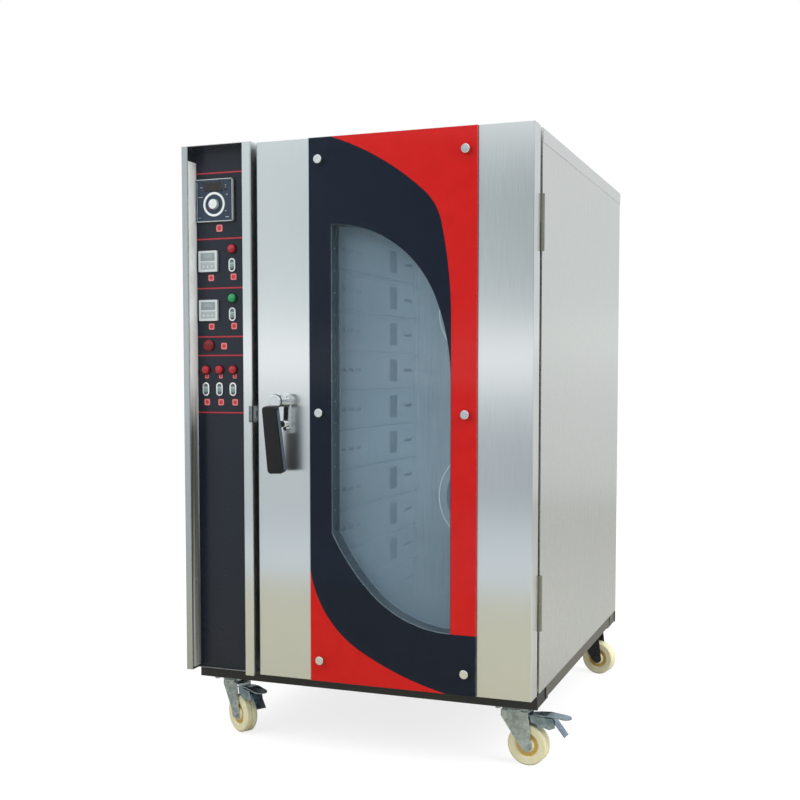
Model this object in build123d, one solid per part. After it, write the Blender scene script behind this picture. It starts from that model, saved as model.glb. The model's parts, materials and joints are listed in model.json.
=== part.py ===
from build123d import *
import math
import os

os.makedirs("parts", exist_ok=True)

# Bakery convection oven on castors.
# While it is built, X runs across the front from the middle of the cabinet, Y runs back from the
# front face of the door, and Z stands on the floor. All sizes are millimetres.

# Cabinet and door
cabinet_width = 820.0
cabinet_depth = 936.0
cabinet_height = 1203.0
control_column = 185.0
door_thickness = 48.0
door_top_drop = 1.0
door_foot_gap = 2.5
hinge_gap = 26.0
sheet = 1.5
bend_radius = 2.0
skin_overlap = 1.2
skirt_height = 30.0
running_fit = 0.05
turning_gap = 0.3
same_place = 0.01

# Base and castors
caster_height = 136.0
base_height = 30.0
base_front_setback = 53.0
base_rear_setback = 8.0
wheel_diameter = 90.0
wheel_width = 30.0
caster_trail = 32.0
caster_side_inset = 63.0
caster_front_inset = 57.0
caster_rear_inset = 70.0
front_left_swivel = -32.0
front_right_swivel = -6.0
rear_swivel = -12.0

# Control column
flange_width = 17.0
post_width = 22.0
post_gap = 8.0
column_proud = 14.0
panel_setback = 25.0
panel_thickness = 2.0

# Oven chamber and tray racks
tray_levels = 10
tray_pitch = 96.3
rack_gap = 415.0
chamber_width = 485.0
chamber_margin = 57.0
chamber_depth = 776.0
rack_depth = 660.0
ledge_width = 18.0
ledge_lip = 12.0

# Fans, elements and motors
fan_pitch = 510.0
fan_radius = 118.0
fan_width = 52.0
blade_count = 12
intake_radius = 112.0
guard_radius = 134.0
element_radius = 146.0
element_tube = 4.2
element_leg = 5.5
shaft_radius = 8.0
motor_radius = 58.0
motor_length = 86.0

# Window and glass
glass_width = 386.0
glass_thickness = 5.0
glass_gap = 3.0
glass_offset = 5.0
print_thickness = 0.3
window_left = 181.5
window_width = 275.5
window_top = 1011.0
window_knee = 669.0
window_foot = 130.0
window_tight_radius = 260.0
window_turn = 45.0
inner_glass_setback = 38.0

# Handle
handle_edge = 66.0
handle_height = 794.0
spindle_radius = 7.0
grip_length = 148.0
grip_width = 27.0
grip_depth = 19.0
grip_lean = 7.2
grip_standoff = 50.3
tongue_reach = 13.0
tongue_drop = 31.0

# Derived planes
left = -cabinet_width / 2
right = cabinet_width / 2
door_width = cabinet_width - control_column
door_left = right - door_width
door_middle = (door_left + right) / 2
front = door_thickness + hinge_gap
back = front + cabinet_depth
base_bottom = caster_height
body_bottom = caster_height + base_height
body_top = body_bottom + cabinet_height
door_bottom = body_bottom + door_foot_gap
door_top = body_top - door_top_drop
door_height = door_top - door_bottom
column_right = door_left - post_gap
column_front = -column_proud
skin_left = left + skin_overlap
skin_right = right - skin_overlap
chamber_left = door_middle - chamber_width / 2
chamber_right = door_middle + chamber_width / 2
chamber_bottom = body_bottom + chamber_margin
chamber_top = body_top - chamber_margin
chamber_front = front + sheet
chamber_back = chamber_front + chamber_depth
chamber_middle = (chamber_bottom + chamber_top) / 2
baffle_front = chamber_front + rack_depth
fan_heights = (chamber_middle - fan_pitch / 2, chamber_middle + fan_pitch / 2)


def block(x0, x1, y0, y1, z0, z1):
    """Rectangular solid between two corners."""
    low = (Align.MIN, Align.MIN, Align.MIN)
    return Pos(x0, y0, z0) * Box(x1 - x0, y1 - y0, z1 - z0, align=low)


def rod_y(y0, y1, x, z, radius):
    """Round bar along Y."""
    return Pos(x, (y0 + y1) / 2, z) * Rot(90, 0, 0) * Cylinder(radius, y1 - y0)


def rod_z(z0, z1, x, y, radius):
    """Round bar along Z."""
    return Pos(x, y, (z0 + z1) / 2) * Cylinder(radius, z1 - z0)


def front_plate(face, y0, y1):
    """Solid from a face drawn in the XZ plane, between two depths."""
    return Pos(0, y0, 0) * extrude(face, amount=y1 - y0, dir=(0, 1, 0))


def in_front_plane(sketch):
    """Turns a flat sketch so that its X stays X and its Y becomes Z."""
    return Plane.XZ.offset(0) * sketch


def bend(solid, *corners):
    """Rounds the upright outer edges at these (x, y) corners, as a folded sheet has them."""
    edges = []
    for edge in solid.edges().filter_by(Axis.Z):
        middle = edge.center()
        for x, y in corners:
            if abs(middle.X - x) < same_place and abs(middle.Y - y) < same_place:
                edges.append(edge)
    return fillet(edges, bend_radius)


nodes = {}


def keep(name, *solids):
    """Files one or more separate solids under a node name."""
    nodes[name] = [piece for solid in solids for piece in solid.solids()]


# Base frame: a flat bar across the front and the back, a square tube down each side, and corner
# plates below the tubes that the castors bolt to.
bar = 8.0
tube_inset = 8.0
tube_width = 30.0
corner_plate = 4.0
corner_reach = 125.0
corner_length = 99.0
corner_side_length = 68.0
strip_gap = 16.0
strip_inset = 2.0
strip_thick = 3.0
tube_wall = 3.0
base_front = base_front_setback
base_back = back - base_rear_setback
tube_bottom = base_bottom + corner_plate

front_bar = block(left, right, base_front, base_front + bar, base_bottom, body_bottom)
back_bar = block(left, right, base_back - bar, base_back, base_bottom, body_bottom)
side_tubes = []
side_strips = []
corner_plates = []
for side in (-1, 1):
    outer = side * (right - tube_inset)
    inner = outer - side * tube_width
    x0 = min(outer, inner)
    x1 = max(outer, inner)
    tube_front = base_front + bar
    tube_back = base_back - bar
    tube = block(x0, x1, tube_front, tube_back, tube_bottom, body_bottom)
    x0 += tube_wall
    x1 -= tube_wall
    tube -= block(x0, x1, tube_front, tube_back, tube_bottom + tube_wall, body_bottom - tube_wall)
    side_tubes.append(tube)
    skin = side * (right - strip_inset)
    skin_in = skin - side * strip_thick
    s0 = min(skin, skin_in)
    s1 = max(skin, skin_in)
    strip_front = tube_front + corner_side_length + strip_gap
    strip_back = tube_back - corner_side_length - strip_gap
    strip = block(s0, s1, strip_front, strip_back, tube_bottom, body_bottom)
    spacers = [
        block(min(skin_in, outer), max(skin_in, outer), y, y + bar, tube_bottom, body_bottom)
        for y in (strip_front + bar, strip_back - 2 * bar)
    ]
    side_strips.append(strip + spacers)
    reach = skin - side * corner_reach
    f0 = min(skin, reach)
    f1 = max(skin, reach)
    for y0, y1, cheek_front in (
        (tube_front, tube_front + corner_length, tube_front),
        (tube_back - corner_length, tube_back, tube_back - corner_side_length),
    ):
        foot = block(f0, f1, y0, y1, base_bottom, tube_bottom)
        cheek_back = cheek_front + corner_side_length
        foot += block(s0, s1, cheek_front, cheek_back, tube_bottom, body_bottom)
        corner_plates.append(foot)
keep("base_frame", front_bar, back_bar, *side_tubes, *side_strips, *corner_plates)

# Bottom pan: the sheet that closes the cabinet below, with a short lip in front of the panel.
pan_lip = 5.0
pan_top = body_bottom + sheet
pan_back = back - sheet
pan_left = block(skin_left, column_right, panel_setback - pan_lip, pan_back, body_bottom, pan_top)
pan_right = block(column_right, skin_right, front, pan_back, body_bottom, pan_top)
keep("bottom_pan", pan_left + pan_right)

# Top cover: one sheet with skirts down both sides and the back. It reaches forward over the column.
cover_low = body_top - sheet
cover = block(left, right, front, back, cover_low, body_top)
cover += block(left, column_right, column_front, front, cover_low, body_top)
skirt_low = body_top - skirt_height
for x0, x1 in ((left, skin_left), (skin_right, right)):
    cover += block(x0, x1, front, back, skirt_low, cover_low)
cover += block(left, right, back - skin_overlap, back, skirt_low, cover_low)
cover_edges = cover.edges().filter_by(Axis.Y).group_by(Axis.Z)[-1]
cover = fillet([cover_edges.sort_by(Axis.X)[0], cover_edges.sort_by(Axis.X)[-1]], bend_radius)
vent_radius = 30.0
vent_neck = 29.0
vent_inset = 70.0
vent_x = door_middle
vent_y = chamber_back - vent_inset
vent_wall = 1.5
cover -= rod_z(cover_low, body_top, vent_x, vent_y, vent_neck)
keep("top_cover", cover)

# Side panels. The left one folds round the front edge into the narrow flange beside the controls.
panel_back = back - skin_overlap
low = body_bottom + sheet
left_panel = block(skin_left, skin_left + sheet, column_front, panel_back, low, cover_low)
left_panel += block(skin_left, left + flange_width, column_front, column_front + sheet, low, cover_low)
return_x = left + flange_width
left_panel += block(return_x - sheet, return_x, column_front, panel_setback, low, cover_low)
left_panel = bend(left_panel, (skin_left, column_front), (return_x, column_front))
keep("left_side_panel", left_panel)
keep("right_side_panel", block(skin_right - sheet, skin_right, front, panel_back, low, cover_low))

# Back panel with two banks of vent slots over the motors and the wiring.
back_face = panel_back
panel_left = skin_left + sheet
panel_right = skin_right - sheet
back_panel = block(panel_left, panel_right, back_face - sheet, back_face, low, cover_low)
slot_long = 90.0
slot_high = 6.0
slot_pitch = 18.0
slots_per_bank = 7
banks = [(door_middle, z) for z in fan_heights] + [((panel_left + chamber_left) / 2, chamber_middle)]
slot_cuts = []
for bank_x, bank_z in banks:
    for i in range(slots_per_bank):
        slot_z = bank_z + (i - (slots_per_bank - 1) / 2) * slot_pitch
        slot_cuts.append(
            block(
                bank_x - slot_long / 2,
                bank_x + slot_long / 2,
                back_face - sheet,
                back_face,
                slot_z - slot_high / 2,
                slot_z + slot_high / 2,
            )
        )
water_x = -120.0
water_z = body_bottom + 150.0
water_radius = 13.0
water_neck = 12.0
nozzle_rise = 60.0
nozzle_z = fan_heights[0] + nozzle_rise
tube_radius = 5.0
gland_x = -300.0
gland_z = body_bottom + 150.0
gland_stem = 10.0
cord_bore = 7.0
back_panel -= slot_cuts
back_panel -= rod_y(back_face - sheet, back_face, water_x, water_z, water_neck)
back_panel -= rod_y(back_face - sheet, back_face, gland_x, gland_z, gland_stem)
keep("back_panel", back_panel)

# Door post: the folded sheet at the right of the controls. Its corner has a notch for the latch.
post_left = column_right - post_width
notch_drop = 18.0
notch_height = 37.0
notch_behind_panel = 6.0
notch_side_room = 3.0
notch_low = handle_height - tongue_drop - notch_drop
notch_high = notch_low + notch_height
notch_depth = panel_setback + notch_behind_panel
post = block(post_left, column_right, column_front, column_front + sheet, low, cover_low)
post += block(column_right - sheet, column_right, column_front, front + sheet, low, cover_low)
post += block(post_left, post_left + sheet, column_front, panel_setback, low, cover_low)
post = bend(post, (post_left, column_front), (column_right, column_front))
tongue_tip = door_left - tongue_reach
notch_left = tongue_tip - notch_side_room
post -= block(notch_left, column_right, column_front, notch_depth, notch_low, notch_high)
keep("door_post", post)

# Control panel: a black sheet set back between the flange and the post, with holes for its parts.
panel_x0 = return_x - sheet
panel_x1 = post_left + sheet
panel_y = panel_setback
panel_back_y = panel_setback + panel_thickness
control_panel = block(panel_x0, panel_x1, panel_y, panel_back_y, low, cover_low)
lamp_radius = 11.0
lamp_stem = 8.0
right_column_x = door_left - 76.0
middle_column_x = door_left - 111.0
left_column_x = door_left - 146.5
timer_x = door_left - 136.5
buzzer_x = door_left - 138.0
controller_x = door_left - 118.0
controller_z = door_bottom + 1081.0
upper_timer_z = door_bottom + 943.5
lower_timer_z = door_bottom + 831.5
timer_lamp_rise = 27.0
timer_switch_drop = 9.75
buzzer_z = door_bottom + 751.0
low_lamp_z = door_bottom + 695.0
low_switch_z = door_bottom + 650.5
lamp_places = (
    (right_column_x, upper_timer_z + timer_lamp_rise),
    (right_column_x, lower_timer_z + timer_lamp_rise),
    (left_column_x, low_lamp_z),
    (middle_column_x, low_lamp_z),
    (right_column_x, low_lamp_z),
)
buzzer_place = (buzzer_x, buzzer_z)
rocker_places = (
    (right_column_x, upper_timer_z - timer_switch_drop),
    (right_column_x, lower_timer_z - timer_switch_drop),
    (left_column_x, low_switch_z),
    (middle_column_x, low_switch_z),
    (right_column_x, low_switch_z),
)
rocker_hole_width = 11.0
rocker_hole_height = 25.0
controller_size = 96.0
controller_body = 90.0
controller_depth = 60.0
controller_place = (controller_x, controller_z)
timer_size = 48.0
timer_body = 44.0
timer_depth = 50.0
timer_places = ((timer_x, upper_timer_z), (timer_x, lower_timer_z))


def stadium(x, z, height, width, y0, y1):
    """Upright plate with round ends, centred on (x, z)."""
    face = in_front_plane(Pos(x, z) * SlotOverall(height, width, rotation=90))
    return front_plate(face, y0, y1)


panel_cuts = []
for x, z in lamp_places + (buzzer_place,):
    panel_cuts.append(rod_y(panel_y, panel_back_y, x, z, lamp_stem))
for x, z in rocker_places:
    hole = stadium(x, z, rocker_hole_height, rocker_hole_width, panel_y, panel_back_y)
    panel_cuts.append(hole)
square_cuts = [(controller_place, controller_body)] + [(place, timer_body) for place in timer_places]
for (x, z), size in square_cuts:
    h = size / 2
    panel_cuts.append(block(x - h, x + h, panel_y, panel_back_y, z - h, z + h))
control_panel -= panel_cuts
keep("control_panel", control_panel)

# Temperature controller: square bezel with a sunk face, a display and a dial round its knob.
bezel_depth = 9.0
bezel_rim = 4.0
bezel_corner = 3.0
face_sink = 2.5
display_left = 25.0
display_right = 21.0
display_low = 22.0
display_high = 40.0
display_proud = 1.0
knob_drop = 9.0
knob_radius = 11.0
knob_length = 13.0
knob_edge = 1.5
knob_shaft = 3.0
shaft_bore = 14.0
shaft_reach = 12.0
pointer_half = 0.8
pointer_start = 5.0
pointer_end = 9.0
dial_outer = 27.5
dial_inner = 22.5
dial_proud = 1.2
cx, cz = controller_place
knob_z = cz - knob_drop
h = controller_size / 2
bezel_front = panel_y - bezel_depth
face_y = bezel_front + face_sink
controller = block(cx - h, cx + h, bezel_front, panel_y, cz - h, cz + h)
controller = chamfer(controller.edges().filter_by(Axis.Y), bezel_corner)
well = h - bezel_rim
controller -= block(cx - well, cx + well, bezel_front, face_y, cz - well, cz + well)
display_x0 = cx - display_left
display_x1 = cx + display_right
display_y = face_y - display_proud
display = block(display_x0, display_x1, display_y, face_y, cz + display_low, cz + display_high)
dial = rod_y(face_y - dial_proud, face_y, cx, knob_z, dial_outer)
dial -= rod_y(face_y - dial_proud, face_y, cx, knob_z, dial_inner)
h = controller_body / 2
controller += block(cx - h, cx + h, panel_y, panel_y + controller_depth, cz - h, cz + h)
controller += [display, dial]
controller -= rod_y(face_y, face_y + shaft_bore, cx, knob_z, knob_shaft + running_fit)
keep("temperature_controller", controller)
knob_back = face_y - turning_gap
knob_front = knob_back - knob_length
knob = rod_y(knob_front, knob_back, cx, knob_z, knob_radius)
knob = fillet(knob.edges().group_by(Axis.Y)[0], knob_edge)
knob -= block(
    cx - pointer_half, cx + pointer_half, knob_front, knob_back, knob_z + pointer_start, knob_z + pointer_end
)
knob += rod_y(knob_back, face_y + shaft_reach, cx, knob_z, knob_shaft)
keep("controller_knob", knob)

# Timers: small square instruments with a sunk display above a row of three round keys.
timer_proud = 7.0
timer_corner = 1.5
timer_window_half = 17.0
timer_window_low = 2.0
timer_window_high = 19.0
timer_window_sink = 1.5
key_radius = 2.4
key_pitch = 11.0
key_drop = 12.0
key_proud = 0.8
timers = []
timer_front = panel_y - timer_proud
for x, z in timer_places:
    h = timer_size / 2
    timer = block(x - h, x + h, timer_front, panel_y, z - h, z + h)
    timer = chamfer(timer.edges().filter_by(Axis.Y), timer_corner)
    w = timer_window_half
    sunk = timer_front + timer_window_sink
    timer -= block(x - w, x + w, timer_front, sunk, z + timer_window_low, z + timer_window_high)
    for i in (-1, 0, 1):
        key_x = x + i * key_pitch
        timer += rod_y(timer_front - key_proud, timer_front, key_x, z - key_drop, key_radius)
    h = timer_body / 2
    timer += block(x - h, x + h, panel_y, panel_y + timer_depth, z - h, z + h)
    timers.append(timer)
keep("timers", *timers)

# Pilot lamps and the buzzer: domed heads with a stem and a nut behind the panel.
lamp_rim = 3.0
lamp_dome = 7.0
lamp_stem_length = 24.0
lamp_nut = 4.0
lamp_front = panel_y - lamp_rim - lamp_dome
indicators = []
for x, z in lamp_places + (buzzer_place,):
    lamp = rod_y(lamp_front, panel_y, x, z, lamp_radius)
    lamp = fillet(lamp.edges().group_by(Axis.Y)[0], lamp_dome)
    lamp += rod_y(panel_y, panel_y + lamp_stem_length, x, z, lamp_stem)
    lamp += rod_y(panel_back_y, panel_back_y + lamp_nut, x, z, lamp_radius)
    indicators.append(lamp)
keep("pilot_lamps_and_buzzer", *indicators)

# Rocker switches: an oval bezel on the panel and a rocker that tips inside it about a level pin.
bezel_width = 17.0
bezel_height = 31.0
bezel_proud = 3.0
rocker_width = 10.0
rocker_height = 21.6
rocker_tip = 7.0
rocker_proud = 1.5
rocker_behind = 6.0
rocker_pin_depth = 3.0
rocker_hollow = 61.0
throat_wall = 0.2
bezel_behind = 12.0
throat_behind = 10.0
rocker_axis_y = panel_y + rocker_pin_depth
bezel_y = panel_y - bezel_proud
throat_height = rocker_hole_height - 2 * throat_wall
throat_width = rocker_hole_width - 2 * throat_wall
bezels = []
for n, (x, z) in enumerate(rocker_places):
    ring = stadium(x, z, bezel_height, bezel_width, bezel_y, panel_y)
    ring += stadium(
        x, z, rocker_hole_height, rocker_hole_width, panel_y, panel_back_y + bezel_behind
    )
    ring -= stadium(x, z, throat_height, throat_width, bezel_y, panel_back_y + throat_behind)
    bezels.append(ring)
    rocker = stadium(
        x, z, rocker_height, rocker_width, bezel_y - rocker_proud, panel_y + rocker_behind
    )
    hollow = Pos(x, bezel_y - rocker_hollow, z) * Rot(0, 90, 0)
    rocker -= hollow * Cylinder(rocker_hollow, rocker_width)
    tipped = Pos(x, rocker_axis_y, z) * Rot(-rocker_tip, 0, 0) * Pos(-x, -rocker_axis_y, -z)
    keep(f"rocker_{n + 1}", tipped * rocker)
keep("rocker_bezels", *bezels)

# Partitions: a sheet between the controls and the chamber, and one behind the chamber that the
# motors are bolted to.
divider_inset = 18.0
rear_wool = 50.0
shaft_room = 4.0
flange_room = 6.0
divider_x = column_right + divider_inset
divider = block(divider_x, divider_x + sheet, front + sheet, back_face - sheet, low, cover_low)
rear_wall_y = chamber_back + sheet + rear_wool
rear_wall_back = rear_wall_y + sheet
rear_partition = block(divider_x + sheet, panel_right, rear_wall_y, rear_wall_back, low, cover_low)
for z in fan_heights:
    rear_partition -= rod_y(rear_wall_y, rear_wall_back, door_middle, z, shaft_radius + flange_room)
rear_partition -= rod_y(rear_wall_y, rear_wall_back, water_x, nozzle_z, tube_radius)
keep("inner_partitions", divider, rear_partition)

# Wiring rack behind the controls: a plate on the divider with three contactors, three relays and
# a terminal row.
rack_plate_thick = 3.0
rack_plate_y = 420.0
rack_plate_depth = 260.0
rack_plate_height = 420.0
rack_rise = 260.0
device_pitch = 78.0
device_inset = 20.0
contactor = (62.0, 82.0, 290.0, 375.0)
relay = (54.0, 67.0, 150.0, 230.0)
terminals = (220.0, 42.0, 40.0, 80.0)
rack_low = body_bottom + rack_rise
plate_face = divider_x - rack_plate_thick
rack_back = rack_plate_y + rack_plate_depth
wiring = block(plate_face, divider_x, rack_plate_y, rack_back, rack_low, rack_low + rack_plate_height)
device_y = rack_plate_y + device_inset
devices = [(device_y, terminals)]
for i in range(3):
    devices += [(device_y + i * device_pitch, contactor), (device_y + i * device_pitch, relay)]
for y0, (length, depth, z0, z1) in devices:
    wiring += block(plate_face - depth, plate_face, y0, y0 + length, rack_low + z0, rack_low + z1)
keep("wiring_rack", wiring)

# Oven chamber: floor, roof, two sides and a back of stainless sheet, inside a pressed front frame.
shell_front = chamber_front
wall_out_left = chamber_left - sheet
wall_out_right = chamber_right + sheet
shell_back = chamber_back + sheet
x0 = wall_out_left
x1 = wall_out_right
floor_plate = block(x0, x1, shell_front, chamber_back, chamber_bottom - sheet, chamber_bottom)
roof_plate = block(x0, x1, shell_front, chamber_back, chamber_top, chamber_top + sheet)
left_wall = block(x0, chamber_left, shell_front, chamber_back, chamber_bottom, chamber_top)
right_wall = block(chamber_right, x1, shell_front, chamber_back, chamber_bottom, chamber_top)
rear_wall = block(x0, x1, chamber_back, shell_back, chamber_bottom - sheet, chamber_top + sheet)
for z in fan_heights:
    rear_wall -= rod_y(chamber_back, shell_back, door_middle, z, shaft_radius + shaft_room)
roof_plate -= rod_z(chamber_top, chamber_top + sheet, vent_x, vent_y, vent_neck)
rear_wall -= rod_y(chamber_back, shell_back, water_x, nozzle_z, tube_radius)
keep("chamber_liner", left_wall, right_wall, floor_plate, roof_plate, rear_wall)
frame_plate = block(column_right, panel_right, front, front + sheet, low, cover_low)
frame_plate -= block(chamber_left, chamber_right, front, front + sheet, chamber_bottom, chamber_top)
keep("front_frame", frame_plate)

# Mineral wool between the chamber and the skins: one batt on each side, above, below and behind.
wool_left = divider_x + sheet
wool_right = skin_right - sheet
wool_back = rear_wall_y
side_low = chamber_bottom - sheet
side_high = chamber_top + sheet
batts = [
    block(wool_left, wall_out_left, shell_front, shell_back, side_low, side_high),
    block(wall_out_right, wool_right, shell_front, shell_back, side_low, side_high),
    block(wool_left, wool_right, shell_front, shell_back, low, side_low),
    block(wool_left, wool_right, shell_front, shell_back, side_high, cover_low),
    block(wool_left, wool_right, shell_back, wool_back, low, cover_low),
]
batts[3] -= rod_z(side_high, cover_low, vent_x, vent_y, vent_neck)
for z in fan_heights:
    batts[4] -= rod_y(shell_back, wool_back, door_middle, z, shaft_radius + shaft_room)
batts[4] -= rod_y(shell_back, wool_back, water_x, nozzle_z, tube_radius)
keep("insulation", *batts)

# Exhaust stub: a short tube from the chamber roof up through the top cover. Above the cover it is
# swelled to the size that a duct slides over.
vent_height = 45.0
vent_neck_rise = 3.0
vent_end = body_top + vent_height
vent = rod_z(chamber_top, vent_end, vent_x, vent_y, vent_neck)
vent += rod_z(body_top + vent_neck_rise, vent_end, vent_x, vent_y, vent_radius)
vent -= rod_z(chamber_top, vent_end, vent_x, vent_y, vent_neck - vent_wall)
keep("exhaust_stub", vent)

# Door gasket: a square silicone ring on the front frame, just short of the closed door.
gasket_inset = 6.0
gasket_width = 18.0
g0 = gasket_inset
g1 = gasket_inset + gasket_width
gasket_front = door_thickness + turning_gap
z0 = chamber_bottom
z1 = chamber_top
gasket = block(chamber_left - g1, chamber_right + g1, gasket_front, front, z0 - g1, z1 + g1)
gasket -= block(chamber_left - g0, chamber_right + g0, gasket_front, front, z0 - g0, z1 + g0)
keep("door_gasket", gasket)

# Tray racks: a slotted side sheet on each side, with an angle ledge for every tray level.
rack_front_gap = 4.0
ledge_back_gap = 20.0
rack_y0 = chamber_front + rack_front_gap
rack_y1 = baffle_front
rack_z0 = chamber_bottom
rack_z1 = chamber_top
first_level = chamber_middle - (tray_levels - 1) / 2 * tray_pitch
rack_sheets = []
ledges = []
slot_width = 8.0
near_slots = 4
near_slot_start = 96.5
near_slot_pitch = 46.0
near_slot_long = 30.0
window_start = 464.5
window_long = 56.0
window_high = 58.0
far_slot_start = 576.5
far_slot_long = 60.0
for side in (-1, 1):
    face = door_middle + side * rack_gap / 2
    outer = face + side * sheet
    x0, x1 = min(face, outer), max(face, outer)
    rack = block(x0, x1, rack_y0, rack_y1, rack_z0, rack_z1)
    cuts = []
    for row in range(tray_levels + 1):
        z = first_level + (row - 0.5) * tray_pitch
        openings = [(far_slot_start, far_slot_long, slot_width)]
        for i in range(near_slots):
            openings.append((near_slot_start + i * near_slot_pitch, near_slot_long, slot_width))
        if 0 < row < tray_levels:
            openings.append((window_start, window_long, window_high))
        for start, long, high in openings:
            y = chamber_front + start
            cuts.append(block(x0, x1, y, y + long, z - high / 2, z + high / 2))
    rack -= cuts
    rack_sheets.append(rack)
    for level in range(tray_levels):
        z = first_level + level * tray_pitch
        inner = face - side * ledge_width
        web = face - side * sheet
        end = rack_y1 - ledge_back_gap
        shelf = block(min(face, inner), max(face, inner), rack_y0, end, z - sheet, z)
        shelf += block(min(face, web), max(face, web), rack_y0, end, z - ledge_lip, z - sheet)
        ledges.append(shelf)
keep("tray_racks", *rack_sheets, *ledges)

# Fan baffle: a sheet across the back of the racks with a round intake in front of each fan. The
# air leaves past its two sides, so it stops at the rack sheets.
baffle_half = rack_gap / 2
baffle = block(
    door_middle - baffle_half,
    door_middle + baffle_half,
    baffle_front,
    baffle_front + sheet,
    chamber_bottom,
    chamber_top,
)
for z in fan_heights:
    baffle -= rod_y(baffle_front, baffle_front + sheet, door_middle, z, intake_radius)
keep("fan_baffle", baffle)

# Fan guards: flat rings on four spokes over each intake.
guard_band = 4.0
guard_thick = 3.0
guard_rings = 4
guard_stand = 6.0
guard_core = 22.0
spoke_start = 20.0
foot_start = 9.0
foot_end = 2.0
guard_front = baffle_front - guard_stand
guard_back = guard_front + guard_thick
guard_step = (guard_radius - guard_core) / (guard_rings - 1)
guards = []
for z in fan_heights:
    guard = None
    for i in range(guard_rings):
        outer_r = guard_radius - i * guard_step
        ring = rod_y(guard_front, guard_back, door_middle, z, outer_r)
        ring -= rod_y(guard_front, guard_back, door_middle, z, outer_r - guard_band)
        guard = ring if guard is None else guard + ring
    for angle in (45, 135, 225, 315):
        h = guard_band / 2
        spoke = block(spoke_start, guard_radius - foot_end / 2, guard_front, guard_back, -h, h)
        foot_in = guard_radius - foot_start
        spoke += block(foot_in, guard_radius - foot_end, guard_front, baffle_front, -h, h)
        guard += Pos(door_middle, 0, z) * Rot(0, angle, 0) * spoke
    guards.append(guard)
keep("fan_guards", *guards)

# Heating elements: two round turns of tube about each fan, on straight legs from the rear wall.
element_setback = 46.0
element_pitch = 20.0
leg_offset = 12.0
first_turn = baffle_front + element_setback
element_planes = (first_turn, first_turn + element_pitch)
elements = []
for z in fan_heights:
    coil = None
    for y in element_planes:
        turn = Pos(door_middle, y, z) * Rot(90, 0, 0) * Torus(element_radius, element_tube)
        coil = turn if coil is None else coil + turn
    for x in (door_middle - leg_offset, door_middle + leg_offset):
        leg_z = z + math.sqrt(element_radius**2 - leg_offset**2)
        coil += rod_y(first_turn, chamber_back, x, leg_z, element_leg)
    elements.append(coil)
keep("heating_elements", *elements)

# Fan wheels: a back disc, a front ring and curved blades between them, on a hub and shaft.
fan_wall_gap = 18.0
fan_back = chamber_back - fan_wall_gap
fan_front = fan_back - fan_width
disc = 1.5
hub_radius = 16.0
hub_setback = 12.0
shaft_setback = 4.0
shaft_in_motor = 34.0
shaft_end = rear_wall_back + shaft_in_motor
blade_root = 62.0
blade_edge = 2.0
blade_sweep = 26.0
blade_belly = 9.36
blade_thick = 1.5
ring_width = 40.0


def fan_blade():
    """One blade: a strip bent to an arc from the root circle to the rim, drawn about the shaft."""
    rim = fan_radius - blade_edge
    sweep = math.radians(blade_sweep)
    belly = math.radians(blade_belly)
    tip = (rim * math.cos(sweep), rim * math.sin(sweep))
    middle_r = (blade_root + rim) / 2
    middle = (middle_r * math.cos(belly), middle_r * math.sin(belly))
    line = ThreePointArc((blade_root, 0), middle, tip)
    return offset(line, amount=blade_thick / 2, side=Side.BOTH, kind=Kind.INTERSECTION)


def fan_wheel(z):
    """A whole fan wheel about its shaft at one height."""
    wheel = rod_y(fan_back - disc, fan_back, door_middle, z, fan_radius)
    ring = rod_y(fan_front, fan_front + disc, door_middle, z, fan_radius)
    ring -= rod_y(fan_front, fan_front + disc, door_middle, z, fan_radius - ring_width)
    wheel += ring
    outline = fan_blade()
    blades = []
    for i in range(blade_count):
        face = make_face(outline.edges())
        blade = extrude(face, amount=fan_back - fan_front - 2 * disc, dir=(0, 0, 1))
        turn = Rot(90, 0, 0) * Rot(0, 0, i * 360 / blade_count)
        blades.append(Pos(door_middle, fan_back - disc, z) * turn * blade)
    wheel += blades
    wheel += rod_y(fan_front + hub_setback, fan_back - disc, door_middle, z, hub_radius)
    wheel += rod_y(fan_front + shaft_setback, shaft_end, door_middle, z, shaft_radius)
    return wheel


keep("lower_fan", fan_wheel(fan_heights[0]))
keep("upper_fan", fan_wheel(fan_heights[1]))

# Fan motors: flanged cases on the rear partition, with a cooling cowl at the far end.
flange_thick = 6.0
flange_lip = 14.0
wiring_box_root = 48.0
wiring_box_reach = 80.0
wiring_box_start = 22.0
wiring_box_end = 66.0
wiring_box_half = 24.0
shaft_end_gap = 1.0
motors = []
motor_front = rear_wall_back
for z in fan_heights:
    flange_back = motor_front + flange_thick
    motor = rod_y(motor_front, flange_back, door_middle, z, motor_radius + flange_lip)
    motor += rod_y(flange_back, motor_front + motor_length, door_middle, z, motor_radius)
    motor += block(
        door_middle + wiring_box_root,
        door_middle + wiring_box_reach,
        motor_front + wiring_box_start,
        motor_front + wiring_box_end,
        z - wiring_box_half,
        z + wiring_box_half,
    )
    bore_end = shaft_end + shaft_end_gap
    motor -= rod_y(motor_front, bore_end, door_middle, z, shaft_radius + running_fit)
    motors.append(motor)
keep("fan_motors", *motors)

# Chamber lamp: a round lens in a holder on the roof of the chamber.
lamp_setback = 224.5
holder_radius = 34.0
holder_height = 6.0
lens_radius = 26.0
lens_trim = 2.0
lamp_y = chamber_front + lamp_setback
holder_low = chamber_top - holder_height
lens_low = holder_low - lens_radius
lamp_holder = rod_z(holder_low, chamber_top, door_middle, lamp_y, holder_radius)
lens = Pos(door_middle, lamp_y, holder_low) * Sphere(lens_radius)
lens -= rod_z(holder_low, holder_low + lens_radius, door_middle, lamp_y, holder_radius)
lens -= rod_z(lens_low, lens_low + lens_trim + holder_height, door_middle, lamp_y, holder_radius)
keep("chamber_lamp", lamp_holder + lens)

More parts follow.
